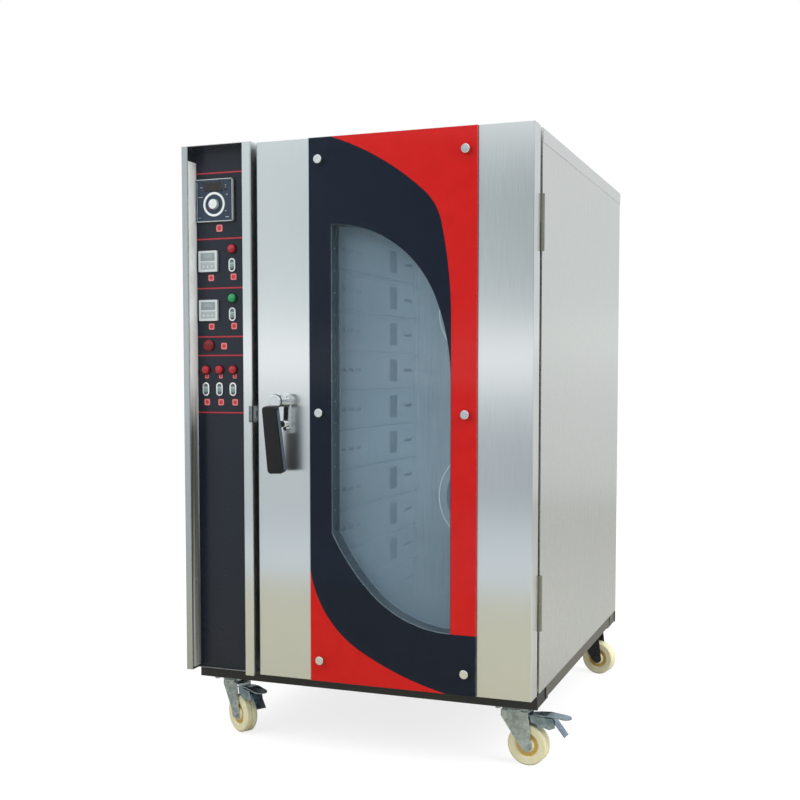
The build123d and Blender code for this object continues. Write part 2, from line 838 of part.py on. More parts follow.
# Water line: threaded inlet on the back, a solenoid valve and a thin tube to the lower fan.
inlet_length = 22.0
inlet_neck = 2.0
inlet_wall = 4.0
inlet_bore = 32.0
valve_half = 22.0
valve_length = 60.0
valve_drop = 18.0
valve_rise = 30.0
elbow_half = 10.0
elbow_height = 20.0
tube_bend = 12.0
tube_setback = 24.0
valve_back = back_face - sheet
valve_front = valve_back - valve_length
valve_top = water_z + valve_rise
inlet_end = back_face + inlet_length
x0 = water_x - valve_half
x1 = water_x + valve_half
valve = block(x0, x1, valve_front, valve_back, water_z - valve_drop, valve_top)
valve += rod_y(valve_back, inlet_end, water_x, water_z, water_neck)
valve += rod_y(back_face + inlet_neck, inlet_end, water_x, water_z, water_radius)
valve -= rod_y(inlet_end - inlet_bore, inlet_end, water_x, water_z, water_radius - inlet_wall)
tube_y = rear_wall_y + tube_setback
tube_path = FilletPolyline(
    (water_x, tube_y, valve_top),
    (water_x, tube_y, nozzle_z),
    (water_x, fan_back, nozzle_z),
    radius=tube_bend,
)
tube_start = Plane(origin=(water_x, tube_y, valve_top), z_dir=(0, 0, 1))
tube = sweep(tube_start * Circle(tube_radius), path=tube_path)
x0 = water_x - elbow_half
x1 = water_x + elbow_half
valve += block(x0, x1, tube_y - elbow_half, valve_front, valve_top - elbow_height, valve_top)
keep("water_line", valve + tube)

# Cable gland: a hexagon and a dome nut round an open bore. No cable is fitted.
hexagon_radius = 15.0
hexagon_length = 8.0
gland_inside = 12.0
gland_outside = 20.0
dome_nut_radius = 12.0
hexagon = extrude(RegularPolygon(hexagon_radius, 6), amount=hexagon_length)
hexagon_end = back_face + hexagon_length
gland_end = back_face + gland_outside
gland = Pos(gland_x, hexagon_end, gland_z) * Rot(90, 0, 0) * hexagon
gland += rod_y(back_face - gland_inside, back_face, gland_x, gland_z, gland_stem)
gland += rod_y(hexagon_end, gland_end, gland_x, gland_z, dome_nut_radius)
gland -= rod_y(back_face - gland_inside, gland_end, gland_x, gland_z, cord_bore)
keep("cable_gland", gland)

# Hinges: two lift-off hinges in the gap behind the door. The lower half of each holds the pin.
hinge_x = right
hinge_y = (door_thickness + front) / 2
knuckle_radius = 6.5
pin_radius = 3.2
hinge_length = 119.0
leaf = 3.0
leaf_width = 42.0
hinge_inset = 138.0
pin_short = 6.0
pin_hole_short = 4.0
leaf_left = hinge_x - leaf_width
leaf_right = hinge_x - sheet
upright_left = leaf_right - leaf
hinge_bottoms = (door_bottom + hinge_inset, door_top - hinge_inset - hinge_length)
cabinet_leaves = []
door_leaves = []
for z in hinge_bottoms:
    split = z + hinge_length / 2
    top = z + hinge_length
    lower = block(leaf_left, leaf_right, front - leaf, front, z, split)
    lower += block(upright_left, leaf_right, hinge_y, front - leaf, z, split)
    lower += rod_z(z, split, hinge_x, hinge_y, knuckle_radius)
    lower += rod_z(split, top - pin_short, hinge_x, hinge_y, pin_radius)
    cabinet_leaves.append(lower)
    start = split + turning_gap
    leaf_back = door_thickness + leaf
    upper = block(leaf_left, leaf_right, door_thickness, leaf_back, start, top)
    upper += block(upright_left, leaf_right, leaf_back, hinge_y, start, top)
    upper += rod_z(start, top, hinge_x, hinge_y, knuckle_radius)
    upper -= rod_z(start, top - pin_hole_short, hinge_x, hinge_y, pin_radius + running_fit)
    door_leaves.append(upper)
keep("cabinet_hinge_leaves", *cabinet_leaves)
keep("door_hinge_leaves", *door_leaves)


# Door window: a leaf-shaped opening of tangent arcs, with one straight side and one sharp corner.
def arc_from(point, heading, radius, turn):
    """An arc that leaves a point at a heading in degrees and turns left, or right if negative."""
    side = 1 if turn > 0 else -1
    a = math.radians(heading)
    centre = (point[0] - side * radius * math.sin(a), point[1] + side * radius * math.cos(a))
    ends = []
    for part in (0.5, 1.0):
        b = math.radians(heading + turn * part) - side * math.pi / 2
        ends.append((centre[0] + radius * math.cos(b), centre[1] + radius * math.sin(b)))
    return ThreePointArc(point, ends[0], ends[1]), ends[1], heading + turn


def window_outline(grow=0.0):
    """The window's outline in the door's own frame, grown outward by a wall."""
    span = window_width
    rise = window_top - window_knee
    tight = window_tight_radius
    wide = (span**2 + (tight - rise) ** 2 - tight**2) / (2 * (span - tight))
    knee_angle = 90.0 - math.degrees(math.atan2(rise - tight, wide - span))
    top_start = (window_left - grow, window_top + grow)
    flat_start = (window_left, window_top + grow)
    upper_1, corner, heading = arc_from(flat_start, 0.0, tight + grow, -knee_angle)
    upper_2, knee, heading = arc_from(corner, heading, wide + grow, -(90.0 - knee_angle))
    foot = (window_left + span + grow, window_foot - grow)
    foot_start = (window_left + span, window_foot - grow)
    lower_1, bend, heading = arc_from(foot_start, 180.0, tight + grow, -window_turn)
    reach = wide + grow
    centre_x = bend[0] + reach * math.sin(math.radians(window_turn))
    centre_z = bend[1] + reach * math.cos(math.radians(window_turn))
    end_angle = math.degrees(math.acos((centre_x - (window_left - grow)) / reach))
    lower_2, end, heading = arc_from(bend, heading, reach, -(90.0 - window_turn - end_angle))
    edges = [upper_1, upper_2, Line(knee, foot), lower_1, lower_2, Line(end, top_start)]
    if grow:
        edges += [Line(top_start, flat_start), Line(foot, foot_start)]
    return Pos(door_left, door_bottom) * make_face(edges)


window_face = in_front_plane(window_outline())
window_band_face = in_front_plane(window_outline(sheet))
skin_back = door_thickness - sheet
standoff_inset = 25.0
standoff_rise = 48.0
glass_left = door_middle + glass_offset - glass_width / 2
glass_right = glass_left + glass_width
glass_back = -glass_gap
glass_front = glass_back - glass_thickness
standoff_shank = 4.0
standoff_end = 12.0
standoff_places = [
    (x, z)
    for x in (glass_left + standoff_inset, glass_right - standoff_inset)
    for z in (door_bottom + standoff_rise, (door_bottom + door_top) / 2, door_top - standoff_rise)
]

# Door skin: a folded pan with the window cut out and a slot in its edge for the latch tongue.
spindle_x = door_left + handle_edge
spindle_z = handle_height
spindle_room = 1.0
cam_front = 14.0
cam_thick = 8.0
cam_back = cam_front + cam_thick
slot_room = 2.5
slot_drop = 38.0
slot_rise = 16.0
inside_left = door_left + sheet
inside_right = right - sheet
inside_low = door_bottom + sheet
inside_high = door_top - sheet
skin = block(door_left, right, 0, skin_back, door_bottom, door_top)
skin = bend(skin, (door_left, 0), (right, 0))
skin -= block(inside_left, inside_right, sheet, skin_back, inside_low, inside_high)
skin -= front_plate(window_face, 0, sheet)
skin -= rod_y(0, sheet, spindle_x, spindle_z, spindle_radius + spindle_room)
skin -= [rod_y(0, sheet, x, z, standoff_shank) for x, z in standoff_places]
tongue_z = spindle_z - tongue_drop
slot_low = tongue_z - slot_drop
slot_high_z = tongue_z + slot_rise
skin -= block(door_left, inside_left, cam_front - slot_room, cam_back + slot_room, slot_low, slot_high_z)
keep("door_skin", skin)

# Door back panel, the band round the window recess and the wool between the two sheets.
back_sheet = block(door_left, right, skin_back, door_thickness, door_bottom, door_top)
keep("door_inner_panel", back_sheet - front_plate(window_face, skin_back, door_thickness))
band = front_plate(window_band_face, sheet, skin_back) - front_plate(window_face, sheet, skin_back)
keep("window_surround", band)
pocket_drop = 96.0
pocket_rise = 18.0
pocket_reach = 52.0
pocket_behind = 5.0
core = block(inside_left, inside_right, sheet, skin_back, inside_low, inside_high)
core -= front_plate(window_band_face, sheet, skin_back)
core -= [rod_y(sheet, standoff_end, x, z, standoff_shank) for x, z in standoff_places]
pocket_right = spindle_x + pocket_reach
pocket_back = cam_back + pocket_behind
pocket_low = spindle_z - pocket_drop
pocket_high = spindle_z + pocket_rise
core -= block(inside_left, pocket_right, sheet, pocket_back, pocket_low, pocket_high)
keep("door_insulation", core)
pane_back = inner_glass_setback + glass_thickness
keep("inner_glass", front_plate(window_face, inner_glass_setback, pane_back))

# Front glass: a full-height pane carried by six stand-offs, with enamel fired on its back.
glass = block(glass_left, glass_right, glass_front, glass_back, door_bottom, door_top)
glass -= [rod_y(glass_front, glass_back, x, z, standoff_shank) for x, z in standoff_places]
keep("front_glass", glass)
caps = []
cap_radius = 9.5
cap_thick = 6.0
cap_edge = 1.0
seat_radius = 7.5
for x, z in standoff_places:
    cap = rod_y(glass_front - cap_thick, glass_front, x, z, cap_radius)
    cap = chamfer(cap.edges().group_by(Axis.Y)[0], cap_edge)
    cap += rod_y(glass_front, standoff_end, x, z, standoff_shank)
    cap += rod_y(glass_back, 0, x, z, seat_radius)
    caps.append(cap)
keep("glass_standoffs", *caps)

# Enamel on the glass: a dark field with a light-coloured corner above and below the window.
band_start_inset = 52.0
band_start_slope = 19.0
upper_sweep = ((626.0, 23.0), (128.0, 36.0), (1000.0, 12.0))
corner_start_height = 250.0
corner_start_slope = 81.5
lower_radius = 242.0
lower_turn = 52.0
foot_radius = 700.0


def corner_above():
    """The coloured corner to the right of the upper sweep and down the right of the window."""
    edges = []
    start = (glass_left - door_left + band_start_inset, door_height)
    point = start
    heading = -band_start_slope
    for radius, turn in upper_sweep:
        edge, point, heading = arc_from(point, heading, radius, -turn)
        edges.append(edge)
    side_x = point[0]
    edge_x = glass_right - door_left
    edges.append(Line(point, (side_x, window_foot)))
    edges.append(Line((side_x, window_foot), (edge_x, window_foot)))
    edges.append(Line((edge_x, window_foot), (edge_x, door_height)))
    edges.append(Line((edge_x, door_height), start))
    return Pos(door_left, door_bottom) * make_face(edges)


def corner_below():
    """The coloured corner below the lower sweep, at the foot of the glass."""
    left_x = glass_left - door_left
    start = (left_x, corner_start_height)
    first, bend, heading = arc_from(start, -corner_start_slope, lower_radius, lower_turn)
    centre_z = bend[1] + foot_radius * math.cos(math.radians(heading))
    last_turn = -heading - math.degrees(math.acos(centre_z / foot_radius))
    second, end, heading = arc_from(bend, heading, foot_radius, last_turn)
    edges = [first, second, Line(end, (left_x, 0.0)), Line((left_x, 0.0), start)]
    return Pos(door_left, door_bottom) * make_face(edges)


print_back = glass_back + print_thickness
seat_cuts = [rod_y(glass_back, print_back, x, z, seat_radius) for x, z in standoff_places]
field = block(glass_left, glass_right, glass_back, print_back, door_bottom, door_top)
above = front_plate(in_front_plane(corner_above()), glass_back, print_back)
below = front_plate(in_front_plane(corner_below()), glass_back, print_back)
window_cut = front_plate(window_face, glass_back, print_back)
above = (above - window_cut) - seat_cuts
below = below - seat_cuts
dark = field - window_cut - above - below - seat_cuts
keep("glass_enamel", dark, above, below)

# Handle base: a bracket on the door with a boss for the spindle and a rubber stop below it.
bracket_thick = 4.0
bracket_half = 15.0
bracket_drop = 66.0
bracket_rise = 18.0
bracket_corner = 10.0
boss_radius = 13.0
boss_front = -26.0
stop_drop = 51.0
stop_offset = 2.0
stop_radius = 5.5
stop_front = -24.0
bracket = block(
    spindle_x - bracket_half,
    spindle_x + bracket_half,
    -bracket_thick,
    0,
    spindle_z - bracket_drop,
    spindle_z + bracket_rise,
)
bracket = fillet(bracket.edges().filter_by(Axis.Y), bracket_corner)
bracket += rod_y(boss_front, -bracket_thick, spindle_x, spindle_z, boss_radius)
bracket -= rod_y(boss_front, 0, spindle_x, spindle_z, spindle_radius + running_fit)
stop_x = spindle_x + stop_offset
stop = rod_y(stop_front, -bracket_thick, stop_x, spindle_z - stop_drop, stop_radius)
keep("handle_base", bracket, stop)

# Handle: a spindle with a domed cap and an arm, the latch cam inside the door, and the grip.
hub_front = -45.0
hub_back = boss_front - turning_gap
hub_outer = 11.0
knob_cap_front = -50.0
knob_cap_radius = 12.5
knob_cap_edge = 3.5
grip_drop = 13.0
arm_half = 7.0
arm_length = 62.0
arm_thick = 5.0
arm_step = 2.0
arm_back = 6.5
arm_top = 10.0
cam_hub = 13.0
cam_tip = 9.0
lever = rod_y(hub_front, hub_back, spindle_x, spindle_z, hub_outer)
lever += rod_y(hub_back, cam_back, spindle_x, spindle_z, spindle_radius)
cap = rod_y(knob_cap_front, hub_front, spindle_x, spindle_z, knob_cap_radius)
lever += fillet(cap.edges().group_by(Axis.Y)[0], knob_cap_edge)
grip_top = spindle_z - grip_drop
x0 = spindle_x - arm_half
x1 = spindle_x + arm_half
arm = block(x0, x1, 0, arm_thick, -arm_length, -arm_step)
arm += block(x0, x1, arm_step, arm_back, -arm_length, arm_top)
lean = Pos(0, -grip_standoff, grip_top) * Rot(grip_lean, 0, 0)
lever += lean * arm
cam = make_hull(
    (Pos(spindle_x, spindle_z) * Circle(cam_hub)).edges()
    + (Pos(tongue_tip + cam_tip, tongue_z) * Circle(cam_tip)).edges()
)
lever += front_plate(in_front_plane(cam), cam_front, cam_back)
keep("handle_lever", lever)
grip_top_corner = 9.0
grip_foot_corner = 4.0
grip_edge = 3.0
half = grip_width / 2
grip = block(spindle_x - half, spindle_x + half, -grip_depth, 0, -grip_length, 0)
grip = fillet(grip.edges().filter_by(Axis.Y).group_by(Axis.Z)[-1], grip_top_corner)
grip = fillet(grip.edges().filter_by(Axis.Y).group_by(Axis.Z)[0], grip_foot_corner)
grip = fillet(grip.faces().filter_by(Axis.Y).sort_by(Axis.Y)[0].edges(), grip_edge)
keep("handle_grip", lean * grip)

# Castors: a fixed plate with its raceway and king pin, a swivelling fork and a wheel on its axle.
wheel_radius = wheel_diameter / 2
plate_thick = 3.5
plate_half_width = 38.0
plate_half_length = 47.0
plate_corner = 8.0
bolt_x = 29.0
bolt_y = 37.0
bolt_hole = 4.5
race_gap_z = -11.0
race_low = 28.0
race_high = 24.0
crown_height = 6.0
crown_top = race_gap_z - turning_gap
crown_bottom = crown_top - crown_height
crown_low = 28.0
crown_high = 31.0
bridge_thick = 2.5
bridge_front = 27.0
bridge_back = 36.0
bridge_low = crown_bottom - bridge_thick
axle_z = wheel_radius - caster_height
leg_room = 2.0
leg_gap = wheel_width / 2 + leg_room
leg_thick = 2.5
leg_out = leg_gap + leg_thick
leg_top_middle = 4.5
leg_top_drop = 8.0
leg_top_width = 63.0
leg_top_height = 11.0
leg_boss = 13.0
axle_radius = 6.0
bolt_head = 8.5
bolt_head_thick = 5.0
king_radius = 6.0
king_head = 10.0
king_head_room = 1.0
king_head_thick = 5.0
hub_proud = 1.5
hub_half = wheel_width / 2 + hub_proud


def caster_plate():
    """The bolted top plate with the upper raceway and the king pin with its head below the crown."""
    w = plate_half_width
    l = plate_half_length
    plate = block(-w, w, -l, l, -plate_thick, 0)
    plate = fillet(plate.edges().filter_by(Axis.Z), plate_corner)
    for x in (-bolt_x, bolt_x):
        for y in (-bolt_y, bolt_y):
            plate -= rod_z(-plate_thick, 0, x, y, bolt_hole)
    race_height = -race_gap_z - plate_thick
    race_middle = (race_gap_z - plate_thick) / 2
    plate += Pos(0, 0, race_middle) * Cone(race_low, race_high, race_height)
    king_low = crown_bottom - turning_gap
    plate += rod_z(king_low, -plate_thick, 0, 0, king_radius)
    return plate + rod_z(king_low - king_head_thick, king_low, 0, 0, king_head)


def caster_fork():
    """The swivelling fork: a round crown, two tapered legs and the axle bolt."""
    fork = Pos(0, 0, (crown_top + crown_bottom) / 2) * Cone(crown_low, crown_high, crown_height)
    fork += block(-bridge_front, bridge_back, -leg_out, leg_out, bridge_low, crown_bottom)
    top_edge = Pos(leg_top_middle, crown_bottom - leg_top_drop) * Rectangle(leg_top_width, leg_top_height)
    boss = Pos(caster_trail, axle_z) * Circle(leg_boss)
    leg = in_front_plane(make_hull(top_edge.edges() + boss.edges()))
    for y0 in (-leg_out, leg_gap):
        fork += front_plate(leg, y0, y0 + leg_thick)
    fork -= rod_z(bridge_low, crown_top, 0, 0, king_radius + running_fit)
    fork -= rod_z(bridge_low, crown_bottom, 0, 0, king_head + king_head_room)
    bolt_end = leg_out + bolt_head_thick
    fork += rod_y(-bolt_end, bolt_end, caster_trail, axle_z, axle_radius)
    for y0 in (-bolt_end, leg_out):
        fork += rod_y(y0, y0 + bolt_head_thick, caster_trail, axle_z, bolt_head)
    return fork


wheel_hub = 14.0
wheel_ring_start = 17.0
wheel_ring_end = 25.0
wheel_face_start = 28.0
wheel_ring_sink = 3.0
tread_corner = 3.5
split_half = 1.2
split_depth = 1.5
split_floor = 0.6


def caster_wheel():
    """The wheel: a moulded disc with a raised hub, a ring recess on each side and a split tread."""
    r = wheel_radius
    w = wheel_width / 2
    ring = w - wheel_ring_sink
    profile = [
        (axle_radius + running_fit, hub_half),
        (wheel_hub, hub_half),
        (wheel_ring_start, ring),
        (wheel_ring_end, ring),
        (wheel_face_start, w),
        (r - tread_corner, w),
        (r, w - tread_corner),
        (r, split_half),
        (r - split_depth, split_floor),
    ]
    mirrored = [(x, -y) for x, y in reversed(profile)]
    face = make_face(Polyline(*profile, *mirrored, close=True))
    return Pos(caster_trail, 0, axle_z) * revolve(face, Axis.Y)


brake_pivot_x = 46.0
brake_pivot_drop = 15.0
brake_pivot_z = crown_bottom - brake_pivot_drop
brake_pivot_radius = 5.0
brake_sheet = 2.5
brake_room = 0.5
lower_tongue_inset = 4.0
cheek_thick = 2.0
upper_tongue = ((38.0, -25.0), (56.0, -22.0), (78.0, -20.0), (128.0, -24.0))
lower_tongue = ((74.0, -21.5), (94.0, -34.0), (117.0, -62.0))
cheek_outline = ((40.0, -25.0), (90.0, -25.0), (97.0, -44.0), (84.0, -50.0), (60.0, -44.0), (42.0, -38.0))
shoe_start = 56.0
shoe_end = 68.0
shoe_low = -49.0
shoe_high = -41.0
tip_centre = 111.0
tip_start = 100.0
tip_end = 140.0
tip_low = -30.0
tip_high = -15.0
tip_room = 1.0


def brake_pedal():
    """The pressed brake pedal: an upper tongue, a lower tongue, two cheeks and the shoe."""
    w = leg_gap - brake_room
    half_sheet = brake_sheet / 2
    upper = in_front_plane(offset(Polyline(*upper_tongue), amount=half_sheet, side=Side.BOTH))
    lower = in_front_plane(offset(Polyline(*lower_tongue), amount=half_sheet, side=Side.BOTH))
    pedal = front_plate(make_face(upper.edges()), -w, w)
    inner = w - lower_tongue_inset
    pedal += front_plate(make_face(lower.edges()), -inner, inner)
    cheek = in_front_plane(make_face(Polyline(*cheek_outline, close=True)))
    for y0 in (-w, w - cheek_thick):
        pedal += front_plate(cheek, y0, y0 + cheek_thick)
    pedal += block(shoe_start, shoe_end, -w, w, shoe_low, shoe_high)
    pedal += rod_y(-w, w, brake_pivot_x, brake_pivot_z, brake_pivot_radius)
    end = rod_z(tip_low, tip_high, tip_centre, 0, w + tip_room)
    end += block(shoe_start, tip_centre, -w, w, tip_low, tip_high)
    trim = block(tip_start, tip_end, -w, w, tip_low, tip_high) - end
    return pedal - trim


caster_y_front = base_front + caster_front_inset
caster_y_back = base_back - caster_rear_inset
caster_places = (
    ("front_left", left + caster_side_inset, caster_y_front, front_left_swivel, True),
    ("front_right", right - caster_side_inset, caster_y_front, front_right_swivel, True),
    ("rear_left", left + caster_side_inset, caster_y_back, rear_swivel, False),
    ("rear_right", right - caster_side_inset, caster_y_back, rear_swivel, False),
)
plates = []
for name, x, y, swivel, braked in caster_places:
    place = Pos(x, y, caster_height)
    turned = place * Rot(0, 0, swivel)
    plates.append(place * caster_plate())
    keep(f"{name}_fork", turned * caster_fork())
    keep(f"{name}_wheel", turned * caster_wheel())
    if braked:
        keep(f"{name}_brake", turned * brake_pedal())
keep("caster_plates", *plates)

# The finished part stands with the bottom centre of its outline on the origin.
boxes = [solid.bounding_box(optimal=False) for solids in nodes.values() for solid in solids]
middle_x = (min(box.min.X for box in boxes) + max(box.max.X for box in boxes)) / 2
middle_y = (min(box.min.Y for box in boxes) + max(box.max.Y for box in boxes)) / 2
shift = Vector(-round(middle_x), -round(middle_y), 0)
print("origin shift", shift.X, shift.Y)
for name, solids in nodes.items():
    whole = [Pos(shift) * solid for solid in solids]
    shape = whole[0] if len(whole) == 1 else Compound(children=whole)
    export_step(shape, f"parts/{name}.step")
print(len(nodes), "nodes")
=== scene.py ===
import json
import math
import bmesh
import bpy
from mathutils import Matrix, Vector


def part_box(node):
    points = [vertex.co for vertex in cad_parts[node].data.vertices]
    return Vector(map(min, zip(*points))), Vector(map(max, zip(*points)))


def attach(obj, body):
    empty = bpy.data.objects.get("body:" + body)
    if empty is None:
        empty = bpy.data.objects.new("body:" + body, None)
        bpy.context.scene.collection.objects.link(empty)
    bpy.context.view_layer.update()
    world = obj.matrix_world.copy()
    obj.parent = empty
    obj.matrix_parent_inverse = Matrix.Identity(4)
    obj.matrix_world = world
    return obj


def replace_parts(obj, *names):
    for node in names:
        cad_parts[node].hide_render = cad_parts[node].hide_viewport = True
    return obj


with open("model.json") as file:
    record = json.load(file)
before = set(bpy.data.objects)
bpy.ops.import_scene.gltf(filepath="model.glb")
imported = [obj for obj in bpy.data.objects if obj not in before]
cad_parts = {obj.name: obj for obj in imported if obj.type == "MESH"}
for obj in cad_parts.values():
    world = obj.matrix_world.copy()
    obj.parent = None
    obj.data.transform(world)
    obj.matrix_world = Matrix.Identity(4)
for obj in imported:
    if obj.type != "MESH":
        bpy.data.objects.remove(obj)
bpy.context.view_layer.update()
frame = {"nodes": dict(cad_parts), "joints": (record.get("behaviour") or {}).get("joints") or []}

# Camera. The oven stands turned a little to the left. A slightly long lens looks at it from a little above its
# middle, and is shifted up so that the castors and the top edge both stay in the picture.
scene = bpy.context.scene
scene.view_settings.view_transform = "Standard"
camera_data = bpy.data.cameras.new("camera")
camera_data.lens = 51.42
camera_data.sensor_width = 36.0
camera_data.shift_y = 0.0504
camera = bpy.data.objects.new("camera", camera_data)
camera.location = (0.9472, -2.7805, 0.8538)
camera.rotation_euler = (math.radians(86.68), 0.0, math.radians(20.58))
scene.collection.objects.link(camera)
scene.camera = camera


# Studio. A pale room with a bright window band at eye height in front of the oven, lighter towards its left wall. The
# floor is beige near the oven and grey beyond. The white that the camera sees is the room's own colour.
def colour(code):
    """Six hex digits of sRGB as a linear colour with alpha."""
    parts = [int(code[i:i + 2], 16) / 255 for i in (0, 2, 4)]
    return [c / 12.92 if c <= 0.04045 else ((c + 0.055) / 1.055) ** 2.4 for c in parts] + [1.0]


def node(tree, kind, inputs=None, **settings):
    """Adds a node, sets its settings, and gives each named input a number or a link."""
    made = tree.nodes.new(kind)
    for key, value in settings.items():
        setattr(made, key, value)
    for key, value in (inputs or {}).items():
        if isinstance(value, bpy.types.NodeSocket):
            tree.links.new(value, made.inputs[key])
        else:
            made.inputs[key].default_value = value
    return made


def ramp(tree, factor, stops):
    """A colour ramp from (position, hex) stops."""
    made = node(tree, "ShaderNodeValToRGB", {"Fac": factor})
    while len(made.color_ramp.elements) < len(stops):
        made.color_ramp.elements.new(1.0)
    for element, (position, code) in zip(made.color_ramp.elements, stops):
        element.position = position
        element.color = colour(code)
    return made.outputs["Color"]


world = bpy.data.worlds.new("studio_room")
scene.world = world
world.use_nodes = True
tree = world.node_tree
tree.nodes.clear()
# Each wall's colours run from 30 degrees down (0) to 30 degrees up (1). The window band lies just above the middle.
room_light = 1.25
direction = node(tree, "ShaderNodeTexCoord").outputs["Generated"]
axes = node(tree, "ShaderNodeSeparateXYZ", {0: direction})
height = node(tree, "ShaderNodeMapRange", {"Value": axes.outputs["Z"], "From Min": -0.5, "From Max": 0.5})
level = height.outputs["Result"]
left_wall = ramp(tree, level, [
    (0.0, "cfcdbd"), (0.30, "bcc2c4"), (0.44, "c2c7c9"), (0.483, "ccd2d4"), (0.496, "ffffff"), (0.523, "ffffff"),
    (0.55, "d7dfe0"), (0.62, "d3dadc"), (0.72, "d2d9db"), (1.0, "e6eaec")])
right_wall = ramp(tree, level, [
    (0.0, "b9b7a8"), (0.30, "949b9f"), (0.44, "929aa0"), (0.483, "a9b1b6"), (0.496, "ffffff"), (0.523, "ffffff"),
    (0.555, "99a1a5"), (0.655, "868e90"), (0.694, "868e90"), (0.704, "eef3f3"), (0.712, "c6cccd"), (0.720, "f4f7f7"),
    (1.0, "e6eaec")])
side_wall = ramp(tree, level, [
    (0.0, "bdbdb9"), (0.40, "c3c4c2"), (0.50, "cbcdcc"), (0.53, "dde0de"), (0.56, "cbcecd"), (0.70, "cdcfce"),
    (1.0, "f4f4f4")])
across = node(tree, "ShaderNodeMapRange", {"Value": axes.outputs["X"], "From Min": -0.24, "From Max": -0.44})
facing = node(tree, "ShaderNodeMapRange", {"Value": axes.outputs["Y"], "From Min": -0.2, "From Max": -0.6})
front = node(tree, "ShaderNodeMix", {"Factor": across.outputs[0], 6: right_wall, 7: left_wall}, data_type="RGBA")
walls = node(tree, "ShaderNodeMix", {
    "Factor": facing.outputs[0], 6: side_wall, 7: front.outputs[2]}, data_type="RGBA")
seen = node(tree, "ShaderNodeLightPath").outputs["Is Camera Ray"]
room = node(tree, "ShaderNodeBackground", {"Color": walls.outputs[2], "Strength": room_light})
white = node(tree, "ShaderNodeBackground", {"Color": colour("ffffff"), "Strength": 1.0})
mixed = node(tree, "ShaderNodeMixShader", {0: seen, 1: room.outputs[0], 2: white.outputs[0]})
node(tree, "ShaderNodeOutputWorld", {"Surface": mixed.outputs[0]})

# Two large soft lamps, each with its place, what it points at, its size in metres and its power in watts. Metal shows
# the room and not the lamps.
for name, place, target, size, power in (
        ("key_lamp", (-1.8, -2.6, 2.9), (0.0, -0.4, 0.8), 2.2, 45.0),
        ("side_lamp", (3.0, -0.6, 2.2), (0.3, 0.0, 0.7), 2.4, 90.0)):
    lamp_data = bpy.data.lights.new(name, "AREA")
    lamp_data.size = size
    lamp_data.energy = power
    lamp = bpy.data.objects.new(name, lamp_data)
    lamp.location = place
    lamp.rotation_euler = (Vector(target) - Vector(place)).to_track_quat("-Z", "Y").to_euler()
    lamp.visible_glossy = False
    scene.collection.objects.link(lamp)

# To the camera the floor is a pale sheet that keeps the oven's shadow. To the metal it is beige, and grey beyond a dark
# seam 2.4 m in front of the oven.
floor_radius = 5.2
floor_glow = 0.78
floor_mesh = bpy.data.meshes.new("floor")
shape = bmesh.new()
bmesh.ops.create_circle(shape, cap_ends=True, radius=floor_radius, segments=96)
shape.to_mesh(floor_mesh)
shape.free()
floor = bpy.data.objects.new("floor", floor_mesh)
scene.collection.objects.link(floor)
paint = bpy.data.materials.new("studio_floor_paint")
paint.use_nodes = True
tree = paint.node_tree
tree.nodes.clear()
seen = node(tree, "ShaderNodeLightPath").outputs["Is Camera Ray"]
place = node(tree, "ShaderNodeTexCoord").outputs["Object"]
depth = node(tree, "ShaderNodeSeparateXYZ", {0: place}).outputs["Y"]
ahead = node(tree, "ShaderNodeMapRange", {"Value": depth, "From Min": -3.14, "From Max": 0.86})
tones = ramp(tree, ahead.outputs[0], [(0.0, "bcc2c7"), (0.18, "b6bbbf"), (0.185, "7d7e79"), (0.195, "aeab99"),
                                      (0.60, "afac9a"), (0.70, "b5b3ab"), (1.0, "b9b8b3")])
matt = node(tree, "ShaderNodeBsdfDiffuse", {"Color": tones})
pale = node(tree, "ShaderNodeBsdfDiffuse", {"Color": colour("8f8f8f")})
glow = node(tree, "ShaderNodeEmission", {"Color": colour("ffffff"), "Strength": floor_glow})
lit = node(tree, "ShaderNodeAddShader", {0: pale.outputs[0], 1: glow.outputs[0]})
mixed = node(tree, "ShaderNodeMixShader", {0: seen, 1: matt.outputs[0], 2: lit.outputs[0]})
node(tree, "ShaderNodeOutputMaterial", {"Surface": mixed.outputs[0]})
floor_mesh.materials.append(paint)


